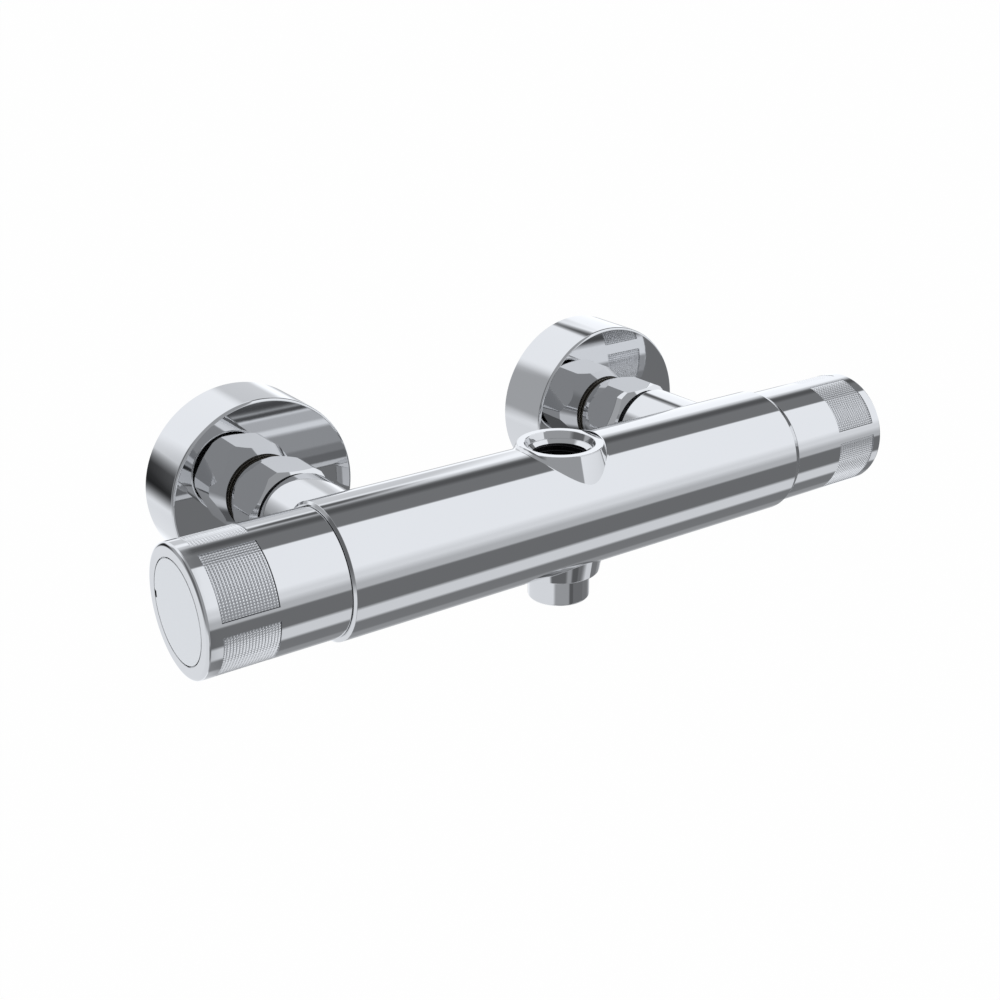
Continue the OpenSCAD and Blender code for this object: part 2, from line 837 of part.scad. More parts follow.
module divert_fixed_disc() {
    color("#f3f2ee") on_right()
        fixed_disc(divert_disc_r, divert_base_stop, divert_port_share, divert_port_r, divert_ports);
}

module divert_moving_disc() {
    color("#f3f2ee") on_right()
        moving_disc(divert_disc_r - snug, divert_moving_start,
            divert_disc_r * divert_port_share + divert_port_r, divert_pocket_first, divert_pocket_deg);
}

module divert_spindle() {
    color("#c9a24a") on_right()
        spindle(divert_disc_r - snug, divert_flange_start, divert_flange_stop, divert_groove,
            bar_right + spindle_reach);
}

module divert_spindle_seal() { color("#1e1f21") on_right() spindle_ring(divert_groove); }

module divert_nut() {
    color("#c9a24a") on_right() ring_nut(divert_r, divert_nut_r, divert_stop, divert_stop + divert_nut_t);
}

// Handle shell: a round cup on a splined hub, with windows for the knurl and a seat for the cover
module handle(bar_end, length, inset, angle) {
    start = bar_end + handle_gap;
    face = start + length;
    web_stop = face - web_inset;
    hub_start = bar_end + spindle_reach - spline_length;
    cup_r = handle_r - handle_wall;
    difference() {
        rotate_extrude() polygon(concat(
            [[0, start], [handle_r, start]],
            edge_arc(handle_r, face, edge_width, edge_depth),
            [[0, face]]));
        rod(cup_r, start - overrun, hub_start);
        tube(cup_r, hub_r, hub_start, web_stop - web_t);
        translate([0, 0, hub_start - overrun])
            linear_extrude(spline_length + 2 * overrun) polygon(spline_points(spline_r + snug));
        rod(screw_r + seat, hub_start, face);
        rod(screw_pocket_r, web_stop, face + overrun);
        rod(cover_r + cover_groove, face - cover_t, face + overrun);
        ring_of(windows, angle - 90 - window_deg / 2)
            translate([0, 0, face - inset - window_length]) rotate_extrude(angle = window_deg)
                translate([handle_r - window_depth, 0]) square([window_depth + overrun, window_length]);
    }
}

module handle_left() {
    color("#d3d6da") on_left()
        handle(bar_left, handle_length_left, window_inset_left, window_angle_left);
}

module handle_right() {
    color("#d3d6da") on_right()
        handle(bar_right, handle_length_right, window_inset_right, window_angle_right);
}

// Flat cover with a pry notch on the wall side
module cover(face) {
    difference() {
        rod(cover_r, face - cover_t, face);
        translate([-notch_w / 2, cover_r - notch_depth, face - cover_t - overrun])
            cube([notch_w, notch_depth + overrun, cover_t + 2 * overrun]);
    }
}

module cover_left() { color("#dfe1e4") on_left() cover(face_left); }
module cover_right() { color("#dfe1e4") on_right() cover(face_right); }

// Screw that holds a handle on its spindle, with a hexagonal key hole
module handle_screw(bar_end, face) {
    head = face - web_inset;
    difference() {
        union() {
            rod(screw_head_r, head, head + screw_head_t);
            rod(screw_r, bar_end + spindle_reach - spline_length + overrun, head + overrun);
        }
        hex_rod(screw_key, head + screw_head_t - screw_key_depth, head + screw_head_t + overrun);
    }
}

module handle_screw_left() { color("#9aa0a6") on_left() handle_screw(bar_left, face_left); }
module handle_screw_right() { color("#9aa0a6") on_right() handle_screw(bar_right, face_right); }

body();
union_left();
union_right();
rosette_left();
rosette_right();
rosette_gasket_left();
rosette_gasket_right();
union_nut_left();
union_nut_right();
nut_ring_left();
nut_ring_right();
inlet_washer_left();
inlet_washer_right();
filter_left();
filter_right();
check_valve_left();
check_valve_right();
valve_cone_left();
valve_cone_right();
valve_spring_left();
valve_spring_right();
hose_nipple();
nipple_seal();
mix_housing();
mix_base();
mix_base_seal();
mix_rings();
mix_fixed_disc();
mix_moving_disc();
mix_spindle();
mix_spindle_seal();
mix_nut();
divert_housing();
divert_base();
divert_base_seal();
divert_ring();
divert_fixed_disc();
divert_moving_disc();
divert_spindle();
divert_spindle_seal();
divert_nut();
handle_left();
cover_left();
handle_screw_left();
handle_right();
cover_right();
handle_screw_right();
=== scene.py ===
import json
import math

import bpy
import numpy as np
from bpy.props import FloatProperty, FloatVectorProperty, IntProperty, PointerProperty
from mathutils import Matrix, Vector


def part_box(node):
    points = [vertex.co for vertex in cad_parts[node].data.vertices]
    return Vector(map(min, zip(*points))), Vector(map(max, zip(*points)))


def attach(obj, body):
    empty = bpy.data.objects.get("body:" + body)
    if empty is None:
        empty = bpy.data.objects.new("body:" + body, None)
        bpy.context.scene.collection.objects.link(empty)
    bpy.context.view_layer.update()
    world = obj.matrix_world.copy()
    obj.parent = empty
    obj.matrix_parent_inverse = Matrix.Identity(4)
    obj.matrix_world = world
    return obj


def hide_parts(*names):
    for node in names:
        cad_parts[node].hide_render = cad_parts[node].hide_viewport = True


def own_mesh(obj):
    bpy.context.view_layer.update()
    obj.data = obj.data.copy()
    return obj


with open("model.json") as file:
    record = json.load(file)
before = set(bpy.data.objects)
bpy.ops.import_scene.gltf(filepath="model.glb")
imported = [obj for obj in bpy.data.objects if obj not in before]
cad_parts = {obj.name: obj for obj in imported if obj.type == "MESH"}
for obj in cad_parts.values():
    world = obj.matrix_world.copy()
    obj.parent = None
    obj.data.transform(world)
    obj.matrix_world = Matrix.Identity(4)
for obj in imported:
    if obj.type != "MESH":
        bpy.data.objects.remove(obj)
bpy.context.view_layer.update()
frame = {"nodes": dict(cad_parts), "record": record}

bl_info = {
    "name": "Shower bar mixer",
    "version": (1, 0, 0),
    "blender": (4, 5, 0),
    "location": "3D View > Sidebar > Mixer",
    "description": "Dresses the packed shower bar mixer with turned chrome, knurled windows "
                   "and a studio",
    "category": "Object",
}

MM = 0.001
FULL_TURN = 2 * math.pi

# The body that the fixed pieces ride on
MIXER = "mixer"

# Union solids shown dark: their dark colour is painted shade for the gap behind each rosette
UNIONS_IN_PAINTED_SHADE = ("union_left", "union_right")

# Rounding of plain and of fine edges
EDGE = 0.15 * MM
FINE_EDGE = 0.06 * MM

# Radius round the outlets' axis inside which the bar's skin is left open, above and below
BOSS_OPENING = 13.7 * MM
COLLAR_OPENING = 9.6 * MM

# How much further each handle reaches towards the bar than its solid
HANDLE_REACH = 0.25 * MM

# Distance of the windows from each handle's face, and degrees of a window's middle above the front
WINDOW_INSETS = {"left": 4.7 * MM, "right": 4.2 * MM}
WINDOW_RISES = {"left": 39, "right": 51}

# Degrees by which each union nut is turned on its axis
NUT_TURNS = {"left": -5.1, "right": 4.3}


def cad_span(node, axis):
    """Lowest and highest place of a CAD node along one axis."""
    low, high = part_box(node)
    return low[axis], high[axis]


def cad_middle(node, axis):
    """Middle of a CAD node along one axis."""
    low, high = cad_span(node, axis)
    return (low + high) / 2


def half_width(node, axis):
    """Half of what a CAD node spans along one axis."""
    low, high = cad_span(node, axis)
    return (high - low) / 2


BAR_Y = cad_middle("handle_left", 1)
BAR_RADIUS = BAR_Y - cad_span("body", 1)[0]
HANDLE_RADIUS = half_width("handle_left", 2)
COVER_RADIUS = half_width("cover_left", 2)
ROSETTE_RADIUS = half_width("rosette_left", 0)
ROSETTE_FRONT = -cad_span("rosette_left", 1)[0]
NUT_START = -cad_span("union_nut_left", 1)[1]
NUT_STOP = -cad_span("union_nut_left", 1)[0]

# Places of the turned pieces, whose local Z is the axis that they are turned round

# Local Z out of the left end of the bar, local X up
TOWARD_LEFT = Matrix(((0, 0, -1, 0), (0, 1, 0, BAR_Y), (1, 0, 0, 0), (0, 0, 0, 1)))

# Local Z out of the right end of the bar, local X down
TOWARD_RIGHT = Matrix(((0, 0, 1, 0), (0, 1, 0, BAR_Y), (-1, 0, 0, 0), (0, 0, 0, 1)))

# Local Z up or down the axis of the outlets, local X right
TOWARD_TOP = Matrix(((1, 0, 0, 0), (0, 1, 0, BAR_Y), (0, 0, 1, 0), (0, 0, 0, 1)))
TOWARD_BOTTOM = Matrix(((1, 0, 0, 0), (0, -1, 0, BAR_Y), (0, 0, -1, 0), (0, 0, 0, 1)))

# The body that each handle's pieces ride on, and their place
HANDLES = {"left": ("mixing_handle", TOWARD_LEFT), "right": ("diverter_handle", TOWARD_RIGHT)}


def along_inlet(x):
    """Local Z from the wall to the bar, local X right and local Y up."""
    return Matrix(((1, 0, 0, x), (0, 0, -1, 0), (0, 1, 0, 0), (0, 0, 0, 1)))


def toward_wall(x):
    """Local Z from the bar's axis to the wall, local X right."""
    return Matrix(((1, 0, 0, x), (0, 0, 1, BAR_Y), (0, -1, 0, 0), (0, 0, 0, 1)))


def length_setting(name, description, default, low, high):
    """A setting in metres."""
    return FloatProperty(
        name=name, description=description, default=default, min=low, max=high, unit="LENGTH")


def colour_setting(name, thing, default, high=1):
    """A setting that is the colour of a thing."""
    return FloatVectorProperty(
        name=name, description="Colour of " + thing, default=default, min=0, max=high,
        subtype="COLOR")


def angle_setting(name, description, default):
    """A setting that is an angle of the camera."""
    return FloatProperty(name=name, description=description, default=default, subtype="ANGLE")


class MixerBarSettings(bpy.types.PropertyGroup):
    """Sizes of the bar and its outlets that the solids leave open."""

    boss_fillet: length_setting(
        "Top outlet fillet", "Radius between the top outlet and the bar", 0.0016, 0.0005, 0.004)
    collar_fillet: length_setting(
        "Collar fillet", "Radius between the bottom collar and the bar", 0.0008, 0.0003, 0.003)
    stub_fillet: length_setting(
        "Stub fillet", "Radius between each inlet stub and the bar", 0.001, 0.0003, 0.003)
    thread_pitch: length_setting(
        "Thread pitch", "Pitch of the thread in the top outlet", 0.001814, 0.001, 0.003)
    thread_depth: length_setting(
        "Thread depth", "Depth of the thread in the top outlet", 0.00116, 0.0004, 0.0014)


class MixerHandleSettings(bpy.types.PropertyGroup):
    """Sizes of the knurled windows and the edges of the handles."""

    windows: IntProperty(
        name="Windows", description="Knurled windows round each handle", default=5, min=3, max=8)
    window_angle: FloatProperty(
        name="Window angle", description="Angle that each window spans",
        default=math.radians(60), min=0.2, max=1.2, subtype="ANGLE")
    window_length: length_setting(
        "Window length", "Length of each window along the handle", 0.0178, 0.005, 0.025)
    window_depth: length_setting("Window depth", "Depth of each window", 0.0006, 0.0002, 0.001)
    knurls_along: IntProperty(
        name="Knurls along", description="Points of the knurl along each window",
        default=18, min=6, max=40)
    knurls_round: IntProperty(
        name="Knurls round", description="Points of the knurl round each window",
        default=25, min=6, max=60)
    edge_width: length_setting(
        "Edge width", "Radial width of the rounded front edge", 0.0014, 0.0002, 0.002)
    edge_depth: length_setting(
        "Edge depth", "Axial depth of the rounded front edge", 0.001, 0.0002, 0.002)


class MixerFinishSettings(bpy.types.PropertyGroup):
    """Colours of the finishes."""

    chrome: colour_setting("Chrome", "the polished plate", (0.70, 0.705, 0.715))
    satin: colour_setting("Satin chrome", "the satin discs", (0.76, 0.77, 0.78))
    brass: colour_setting("Brass", "the bare brass", (0.72, 0.53, 0.25))
    # The bores' near-black colour is painted shade for the gaps in the thread, the throat and round
    # the spigots
    bore: colour_setting("Bores", "the unplated threads and bores", (0.035, 0.035, 0.037))
    # The unions' dark casting colour is painted shade for the gap behind the rosettes
    casting: colour_setting(
        "Casting", "the bare, darkened unions behind the rosettes", (0.13, 0.118, 0.098))
    steel: colour_setting("Steel", "springs, screws and strainers", (0.60, 0.61, 0.63))
    rubber: colour_setting("Rubber", "seals and washers", (0.018, 0.018, 0.019))
    foam: colour_setting("Foam", "the gaskets behind the rosettes", (0.22, 0.23, 0.24))
    pale_plastic: colour_setting("Pale plastic", "cartridges and check valves", (0.78, 0.78, 0.74))
    dark_plastic: colour_setting("Dark plastic", "the valve cones", (0.04, 0.042, 0.046))
    ceramic: colour_setting("Ceramic", "the sealing discs", (0.86, 0.84, 0.79))


class MixerStudioSettings(bpy.types.PropertyGroup):
    """Camera, floor and light."""

    camera_place: FloatVectorProperty(
        name="Camera place", description="Where the camera stands",
        default=(-0.2687, -0.43795, 0.1805), subtype="TRANSLATION", unit="LENGTH")
    camera_azimuth: angle_setting(
        "Camera azimuth", "Turn of the view to the right of the wall's normal", 0.612)
    camera_elevation: angle_setting(
        "Camera elevation", "Angle of the view below the horizon", 0.386)
    camera_roll: angle_setting("Camera roll", "Roll of the view", -0.007)
    lens: FloatProperty(
        name="Lens", description="Focal length in millimetres", default=51.28, min=10, max=200)
    floor_drop: length_setting(
        "Floor drop", "Distance from the bar's axis down to the floor", 1.6, 0.2, 3)
    screen_radius: length_setting(
        "Screen radius", "Distance of the studio screens from the bar", 4, 0.5, 8)
    screen_tint: colour_setting(
        "Screen tint", "the studio screens' cast", (0.975, 1.0, 1.04), high=2)


class Value:
    """A node's output, so that shader maths reads as plain expressions."""

    def __init__(self, maker, socket):
        self.maker = maker
        self.socket = socket

    def __add__(self, other):
        return self.maker.math("ADD", self, other)

    def __mul__(self, other):
        return self.maker.math("MULTIPLY", self, other)

    __radd__ = __add__
    __rmul__ = __mul__


class Maker:
    """Adds nodes to one node tree."""

    def __init__(self, tree):
        self.tree = tree
        tree.nodes.clear()

    def node(self, kind, settings=None, sockets=None, output=0):
        """Adds a node: its settings first, then the values or links of its sockets."""
        node = self.tree.nodes.new(kind)
        for key, value in (settings or {}).items():
            setattr(node, key, value)
        for key, value in (sockets or {}).items():
            if isinstance(value, Value):
                self.tree.links.new(value.socket, node.inputs[key])
            else:
                node.inputs[key].default_value = value
        if not node.outputs:
            return None
        return Value(self, node.outputs[output])

    def math(self, operation, a, b):
        """A Math node on values or numbers."""
        return self.node("ShaderNodeMath", {"operation": operation}, {0: a, 1: b})


def new_material(name):
    """An empty node material and its maker."""
    material = bpy.data.materials.new(name)
    material.use_nodes = True
    return material, Maker(material.node_tree)


def object_noise(maker, scale, detail, stretch=(1, 1, 1)):
    """Noise fixed to the object, from 0 to 1."""
    place = maker.node("ShaderNodeTexCoord", output=3)
    mapped = maker.node("ShaderNodeMapping", None, {"Vector": place, "Scale": stretch})
    return maker.node(
        "ShaderNodeTexNoise", None, {"Vector": mapped, "Scale": scale, "Detail": detail})


def close_material(maker, colour, shades, cloud, grain, depth, roughness, metallic=1.0, sheen=0.0):
    """Adds the surface and the output.

    The cloud shifts the colour between two shades of itself, each a share of it, and the grain
    raises bumps of a depth. Both run from 0 to 1.
    """
    dark, light = ((*(min(1.0, c * share) for c in colour), 1) for share in shades)
    surface = maker.node("ShaderNodeBsdfPrincipled", None, {
        "Base Color": maker.node(
            "ShaderNodeMix", {"data_type": "RGBA"}, {0: cloud, 6: dark, 7: light}, output=2),
        "Metallic": metallic,
        "Roughness": roughness,
        "Sheen Weight": sheen,
        "Normal": maker.node(
            "ShaderNodeBump", None, {"Height": grain, "Distance": depth, "Strength": 1.0})})
    maker.node("ShaderNodeOutputMaterial", None, {"Surface": surface})


def polished_chrome(colour):
    """Bright plate with the faint ripple and the wiped haze of a polished casting."""
    material, maker = new_material("polished chrome")
    haze = object_noise(maker, 34, 4)
    wipe = object_noise(maker, 160, 2, (0.25, 1, 1))
    ripple = object_noise(maker, 420, 2)
    roughness = 0.012 + haze * wipe * 0.05
    close_material(maker, colour, (0.99, 1.01), haze, ripple, 0.0000012, roughness)
    return material


def knurled_chrome(colour):
    """The same plate over cut knurling, rougher and a little lighter."""
    material, maker = new_material("knurled chrome")
    grain = object_noise(maker, 900, 3)
    close_material(maker, colour, (1.08, 1.18), grain, grain, 0.000004, 0.09 + grain * 0.08)
    return material


def satin_chrome(colour):
    """Plate over a fine blasted ground."""
    material, maker = new_material("satin chrome")
    grain = object_noise(maker, 2600, 2)
    cloud = object_noise(maker, 60, 3)
    close_material(maker, colour, (0.98, 1.01), cloud, grain, 0.000006, 0.2 + cloud * 0.05)
    return material


def turned_metal(name, colour, roughness, ring_scale):
    """Bare turned metal with fine tool rings and a light tarnish."""
    material, maker = new_material(name)
    rings = object_noise(maker, ring_scale, 2, (1, 0.08, 1))
    tarnish = object_noise(maker, 90, 4)
    close_material(
        maker, colour, (0.8, 1.08), tarnish, rings, 0.00001, roughness + rings * 0.14)
    return material


def soft_finish(name, colour, roughness, grain_scale, grain_depth, sheen=0.0):
    """Rubber, foam, moulded plastic or ceramic with a fine grain."""
    material, maker = new_material(name)
    grain = object_noise(maker, grain_scale, 3)
    cloud = object_noise(maker, 45, 3)
    close_material(
        maker, colour, (0.88, 1.1), cloud, grain, grain_depth, roughness + grain * 0.12,
        metallic=0.0, sheen=sheen)
    return material


def make_finishes(colours):
    """Every finish by the name of its slot in the record."""
    return {
        "chrome": polished_chrome(colours.chrome),
        "knurl": knurled_chrome(colours.chrome),
        "satin_chrome": satin_chrome(colours.satin),
        "brass": turned_metal("turned brass", colours.brass, 0.24, 900),
        # The bores' near-black colour is painted shade for the gaps in the thread, the throat and
        # round the spigots
        "painted_shade_bore": turned_metal("painted shade bore", colours.bore, 0.42, 700),
        # The unions' dark colour is painted shade for the gap behind the rosettes
        "painted_shade_union": turned_metal("painted shade union", colours.casting, 0.38, 500),
        "steel": turned_metal("drawn steel", colours.steel, 0.28, 1400),
        "rubber": soft_finish("seal rubber", colours.rubber, 0.5, 1500, 0.00001),
        "foam": soft_finish("gasket foam", colours.foam, 0.8, 2200, 0.00012, 0.2),
        "white_plastic": soft_finish("pale moulding", colours.pale_plastic, 0.42, 1800, 0.00001),
        "dark_plastic": soft_finish("dark moulding", colours.dark_plastic, 0.4, 1800, 0.00001),
        "ceramic": soft_finish("lapped ceramic", colours.ceramic, 0.12, 2400, 0.000002),
    }


FINISHES = {}


def finish(slot):
    """The finish of a slot, made on first use."""
    if not FINISHES:
        FINISHES.update(make_finishes(bpy.context.scene.mixer_finishes))
    return FINISHES[slot]


class Shell:
    """Points, faces and the normal at each corner of each face."""

    def __init__(self, points, faces, normals):
        self.points = np.asarray(points, float).reshape(-1, 3)
        self.faces = faces
        self.normals = np.asarray(normals, float).reshape(-1, 3)

    def placed(self, matrix):
        """The shell moved by a matrix that doesn't mirror."""
        turn = np.array(matrix.to_3x3())
        shift = np.array(matrix.translation)
        return Shell(self.points @ turn.T + shift, self.faces, self.normals @ turn.T)


def joined(shells):
    """Several shells as one."""
    points, faces, normals, start = [], [], [], 0
    for shell in shells:
        points.append(shell.points)
        normals.append(shell.normals)
        faces += [tuple(start + i for i in face) for face in shell.faces]
        start += len(shell.points)
    return Shell(np.concatenate(points), faces, np.concatenate(normals))


def linked(name, data):
    """A new object in the scene."""
    piece = bpy.data.objects.new(name, data)
    bpy.context.scene.collection.objects.link(piece)
    return piece


def add_object(name, shell, slot, body, replaced=()):
    """Makes a mesh object of a shell in its finish, riding on a body."""
    mesh = bpy.data.meshes.new(name)
    mesh.from_pydata(shell.points.tolist(), [], shell.faces)
    mesh.shade_smooth()
    mesh.normals_split_custom_set(shell.normals.tolist())
    mesh.materials.append(finish(slot))
    piece = linked(name, mesh)
    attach(piece, body)
    if replaced:
        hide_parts(*replaced)
    return piece


def unit(vectors):
    """A vector, or each row of an array of vectors, made one long."""
    vectors = np.asarray(vectors, float)
    return vectors / np.linalg.norm(vectors, axis=-1, keepdims=True)


def round_angles(count):
    """Angles once round, from 0."""
    return np.arange(count) * FULL_TURN / count


def circle(reach, angles, height):
    """Points at a distance from local Z, at some angles and a height."""
    return np.stack([reach * np.cos(angles), reach * np.sin(angles), height + 0 * angles], 1)


def same_normals(normal, count):
    """One normal for a number of points."""
    return np.tile(normal, (count, 1))


def outline(corners, steps=6):
    """A turned piece's outline through corners of radius, height and rounding.

    It gives a list of lines, each from one point to the next with the normals there. The normal
    lies to the right of the way that the outline runs.
    """
    lines = []
    places = [np.array(corner[:2], float) for corner in corners]
    rounding = [corner[2] if len(corner) > 2 else 0.0 for corner in corners]
    last_point = places[0]
    for i in range(1, len(places)):
        ahead = unit(places[i] - places[i - 1])
        normal = np.array([ahead[1], -ahead[0]])
        if i == len(places) - 1 or rounding[i] == 0:
            lines.append((last_point, normal, places[i], normal))
            last_point = places[i]
            continue
        after = unit(places[i + 1] - places[i])
        turn = math.atan2(ahead[0] * after[1] - ahead[1] * after[0], float(ahead @ after))
        cut = rounding[i] * abs(math.tan(turn / 2))
        start = places[i] - ahead * cut
        side = 1 if turn > 0 else -1
        centre = start - side * rounding[i] * normal
        lines.append((last_point, normal, start, normal))
        last_point, last_normal = start, normal
        for k in range(1, steps + 1):
            cosine, sine = math.cos(turn * k / steps), math.sin(turn * k / steps)
            bent = np.array([normal[0] * cosine - normal[1] * sine,
                             normal[0] * sine + normal[1] * cosine])
            if k == steps:
                bent = np.array([after[1], -after[0]])
            point = centre + side * rounding[i] * bent
            lines.append((last_point, last_normal, point, bent))
            last_point, last_normal = point, bent
    return lines


def oval_edge(radius, height, width, depth, steps=8):
    """Lines of an oval front edge, from the side of a round piece to its face."""
    points, normals = [], []
    for k in range(steps + 1):
        angle = math.pi / 2 * k / steps
        points.append(np.array([radius - width + width * math.cos(angle),
                                height - depth + depth * math.sin(angle)]))
        normals.append(unit([math.cos(angle) / width, math.sin(angle) / depth]))
    return [(points[k], normals[k], points[k + 1], normals[k + 1]) for k in range(steps)]


def cut_lines(lines, heights):
    """Lines of an outline, with each one that climbs past some of the heights cut there."""
    pieces = []
    for first, normal, last, last_normal in lines:
        climb = last[1] - first[1]
        shares = [(height - first[1]) / climb for height in heights if first[1] < height < last[1]]
        cuts = [first] + [first + share * (last - first) for share in shares] + [last]
        normals = [normal] * (len(cuts) - 1) + [last_normal]
        pieces += [(cuts[k], normals[k], cuts[k + 1], normals[k + 1]) for k in range(len(cuts) - 1)]
    return pieces


def grid_faces(rows, columns, closed=True):
    """Faces of a grid of points that are numbered row by row. Each row may close on itself."""
    faces = []
    for i in range(rows - 1):
        row, next_row = i * columns, (i + 1) * columns
        for j in range(columns if closed else columns - 1):
            after = (j + 1) % columns
            faces.append((row + j, row + after, next_row + after, next_row + j))
    return faces


def grid_shell(points, normals, closed=False):
    """A shell of a grid of points with a normal at each. Each row may close on itself."""
    faces = grid_faces(*points.shape[:2], closed)
    return Shell(points, faces, normals.reshape(-1, 3)[np.array(faces).ravel()])


def turned(lines, steps=192, skip=None, angles=None):
    """A shell of an outline turned round local Z. A face whose centre skip() picks is left out."""
    if angles is None:
        angles = round_angles(steps)
    count = len(angles)
    cosines, sines = np.cos(angles), np.sin(angles)
    rings = [lines[0][0]] + [line[2] for line in lines]
    points = np.concatenate([circle(radius, angles, height) for radius, height in rings])
    faces, normals = [], []
    for face in grid_faces(len(rings), count):
        if skip is not None and skip((points[face[0]] + points[face[2]]) / 2):
            continue
        faces.append(face)
        _, first, _, second = lines[face[0] // count]
        for corner, normal in zip(face, (first, first, second, second)):
            i = corner % count
            normals.append((normal[0] * cosines[i], normal[0] * sines[i], normal[1]))
    return Shell(points, faces, normals)


def band(first, last, normals, last_normals=None, closed=True):
    """A shell between two rows of points, with the first row's normals where the last has none."""
    ends = [normals, normals if last_normals is None else last_normals]
    return grid_shell(np.stack([first, last]), np.stack(ends), closed)


def flared_fillet(bar_radius, top_radius, top_height, flare, ball, steps=240, rows=8):
    """The rolled fillet between the bar and a neck that stands on it, round local Z.

    flare is how much the neck widens for each unit downwards, and ball is the fillet's radius.
    """
    lean = math.atan(flare)
    angles = round_angles(steps)

    def centre_radius(height):
        below_top = top_height - (height - ball * math.sin(lean))
        return top_radius + below_top * flare + ball * math.cos(lean)

    # The ball's centre for each angle, where it touches both the bar and the neck
    height = np.full(steps, bar_radius)
    for _ in range(60):
        sideways = centre_radius(height) * np.sin(angles)
        inside = np.maximum((bar_radius + ball) ** 2 - sideways ** 2, 1e-12)
        height = 0.5 * height + 0.5 * np.sqrt(inside)
    centres = circle(centre_radius(height), angles, height)
    neck_normal = circle(math.cos(lean), angles, math.sin(lean))
    bar_normal = centres * np.array([0, 1, 1]) / (bar_radius + ball)
    shares = np.arange(rows + 1) / rows
    normals = np.array([
        unit(bar_normal * (1 - share) + neck_normal * share) for share in shares])
    return grid_shell(centres - ball * normals, normals, closed=True)


def thread_shell(radius, start, stop, pitch, depth, steps=160, per_turn=14):
    """An inside thread between two heights, round local Z, which runs out at both ends."""
    flat_share, flank_share, run_out = 0.12, 0.76, 0.4 * pitch
    rows = int((stop - start) / pitch * per_turn)
    angles = np.arange(steps + 1) * FULL_TURN / steps
    heights = np.linspace(start, stop, rows + 1)
    turn = heights[:, None] / pitch - angles[None, :] / FULL_TURN
    wave = np.abs(turn - np.floor(turn) - 0.5) * 2
    tooth = np.clip((wave - flat_share) / flank_share, 0, 1)
    ends = np.clip(np.minimum(heights - start, stop - heights) / run_out, 0, 1)[:, None]
    reach = radius + depth * tooth * ends
    points = np.stack([reach * np.cos(angles), reach * np.sin(angles),
                       np.repeat(heights[:, None], steps + 1, 1)], 2)
    by_height = np.gradient(points, axis=0)
    by_angle = np.gradient(points, axis=1)
    by_angle[:, 0] = by_angle[:, -1] = points[:, 1] - points[:, -2]
    normals = unit(np.cross(by_height, by_angle))
    return grid_shell(points[::-1], normals[::-1])


def near_outlets(point):
    """True where a point of the bar's skin, seen toward the left, lies over an outlet's bore."""
    up, back, along = point
    distance = math.hypot(back, along)
    return (up > 0 and distance < BOSS_OPENING) or (up < 0 and distance < COLLAR_OPENING)


def bar_shell():
    """The bar with its cone at the right end and its ring at the left end."""
    left, right = -cad_span("body", 0)[0], cad_span("body", 0)[1]
    right_bore, right_bore_depth = 13 * MM, 12 * MM
    left_bore, left_bore_depth = 17.75 * MM, 10 * MM
    cone_length, cone_foot = 2.6 * MM, HANDLE_RADIUS + 0.05 * MM
    ring_width, ring_step = 0.6 * MM, 0.9 * MM
    skin = outline([
        (right_bore, -right + right_bore_depth), (right_bore, -right, EDGE),
        (cone_foot, -right, FINE_EDGE), (BAR_RADIUS, -right + cone_length, 0.5 * MM),
        (BAR_RADIUS, left - ring_width, EDGE), (BAR_RADIUS - ring_step, left, 0.1 * MM),
        (left_bore, left, EDGE), (left_bore, left - left_bore_depth)])
    cuts = [k * MM for k in range(-20, 21)]
    return turned(cut_lines(skin, cuts), 384, near_outlets).placed(TOWARD_LEFT)


def top_outlet_shells(sizes):
    """The top outlet's neck and fillet, then its thread and the throat below it."""
    rim_top = cad_span("body", 2)[1]
    neck_radius, rim_round = 14.4 * MM, 0.3 * MM
    foot_height = 0.57 * BAR_RADIUS
    foot_radius = math.sqrt(BAR_RADIUS ** 2 - foot_height ** 2) - 0.1 * MM
    neck_top = rim_top - rim_round
    flare = (foot_radius - neck_radius) / (neck_top - foot_height)
    mouth, recess_top, recess_foot = 11.85 * MM, 11.7 * MM, 10.9 * MM
    recess_depth, mouth_depth = 2.4 * MM, 0.15 * MM
    socket_radius, socket_floor, socket_top = 9.3155 * MM, 9.5 * MM, rim_top - 3.6 * MM
    throat_radius, throat_floor, throat_end = 7.6 * MM, socket_floor - 1.6 * MM, 0.3 * MM
    neck = [(np.array([foot_radius, foot_height]), unit([1, flare]),
             np.array([neck_radius, neck_top]), unit([1, flare]))]
    neck += oval_edge(neck_radius, rim_top, rim_round, rim_round)
    neck += outline([
        (neck_radius - rim_round, rim_top), (mouth, rim_top, FINE_EDGE),
        (recess_top, rim_top - mouth_depth, FINE_EDGE),
        (recess_foot, rim_top - recess_depth, EDGE),
        (socket_radius + 1.2 * MM, rim_top - recess_depth, 0.08 * MM), (socket_radius, socket_top)])
    throat = outline([
        (socket_radius, socket_floor), (throat_radius, socket_floor, 0.1 * MM),
        (throat_radius, throat_floor), (throat_end, throat_floor)])
    thread = thread_shell(
        socket_radius, socket_floor, socket_top, sizes.thread_pitch, sizes.thread_depth)
    fillet = flared_fillet(BAR_RADIUS, neck_radius, neck_top, flare, sizes.boss_fillet)
    shells = (turned(neck, 256), fillet, thread, turned(throat, 128))
    return [shell.placed(TOWARD_TOP) for shell in shells]


def collar_shells(sizes):
    """The collar below the bar and its fillet."""
    end = -cad_span("body", 2)[0]
    radius, flare, top, bore, end_round = 13.7 * MM, 0.18, 12 * MM, 9.4 * MM, 0.6 * MM
    collar = outline([(radius + flare * (end - top), top), (radius, end, end_round), (bore, end)])
    fillet = flared_fillet(BAR_RADIUS, radius, end, flare, sizes.collar_fillet)
    return [shell.placed(TOWARD_BOTTOM) for shell in (turned(collar, 192), fillet)]


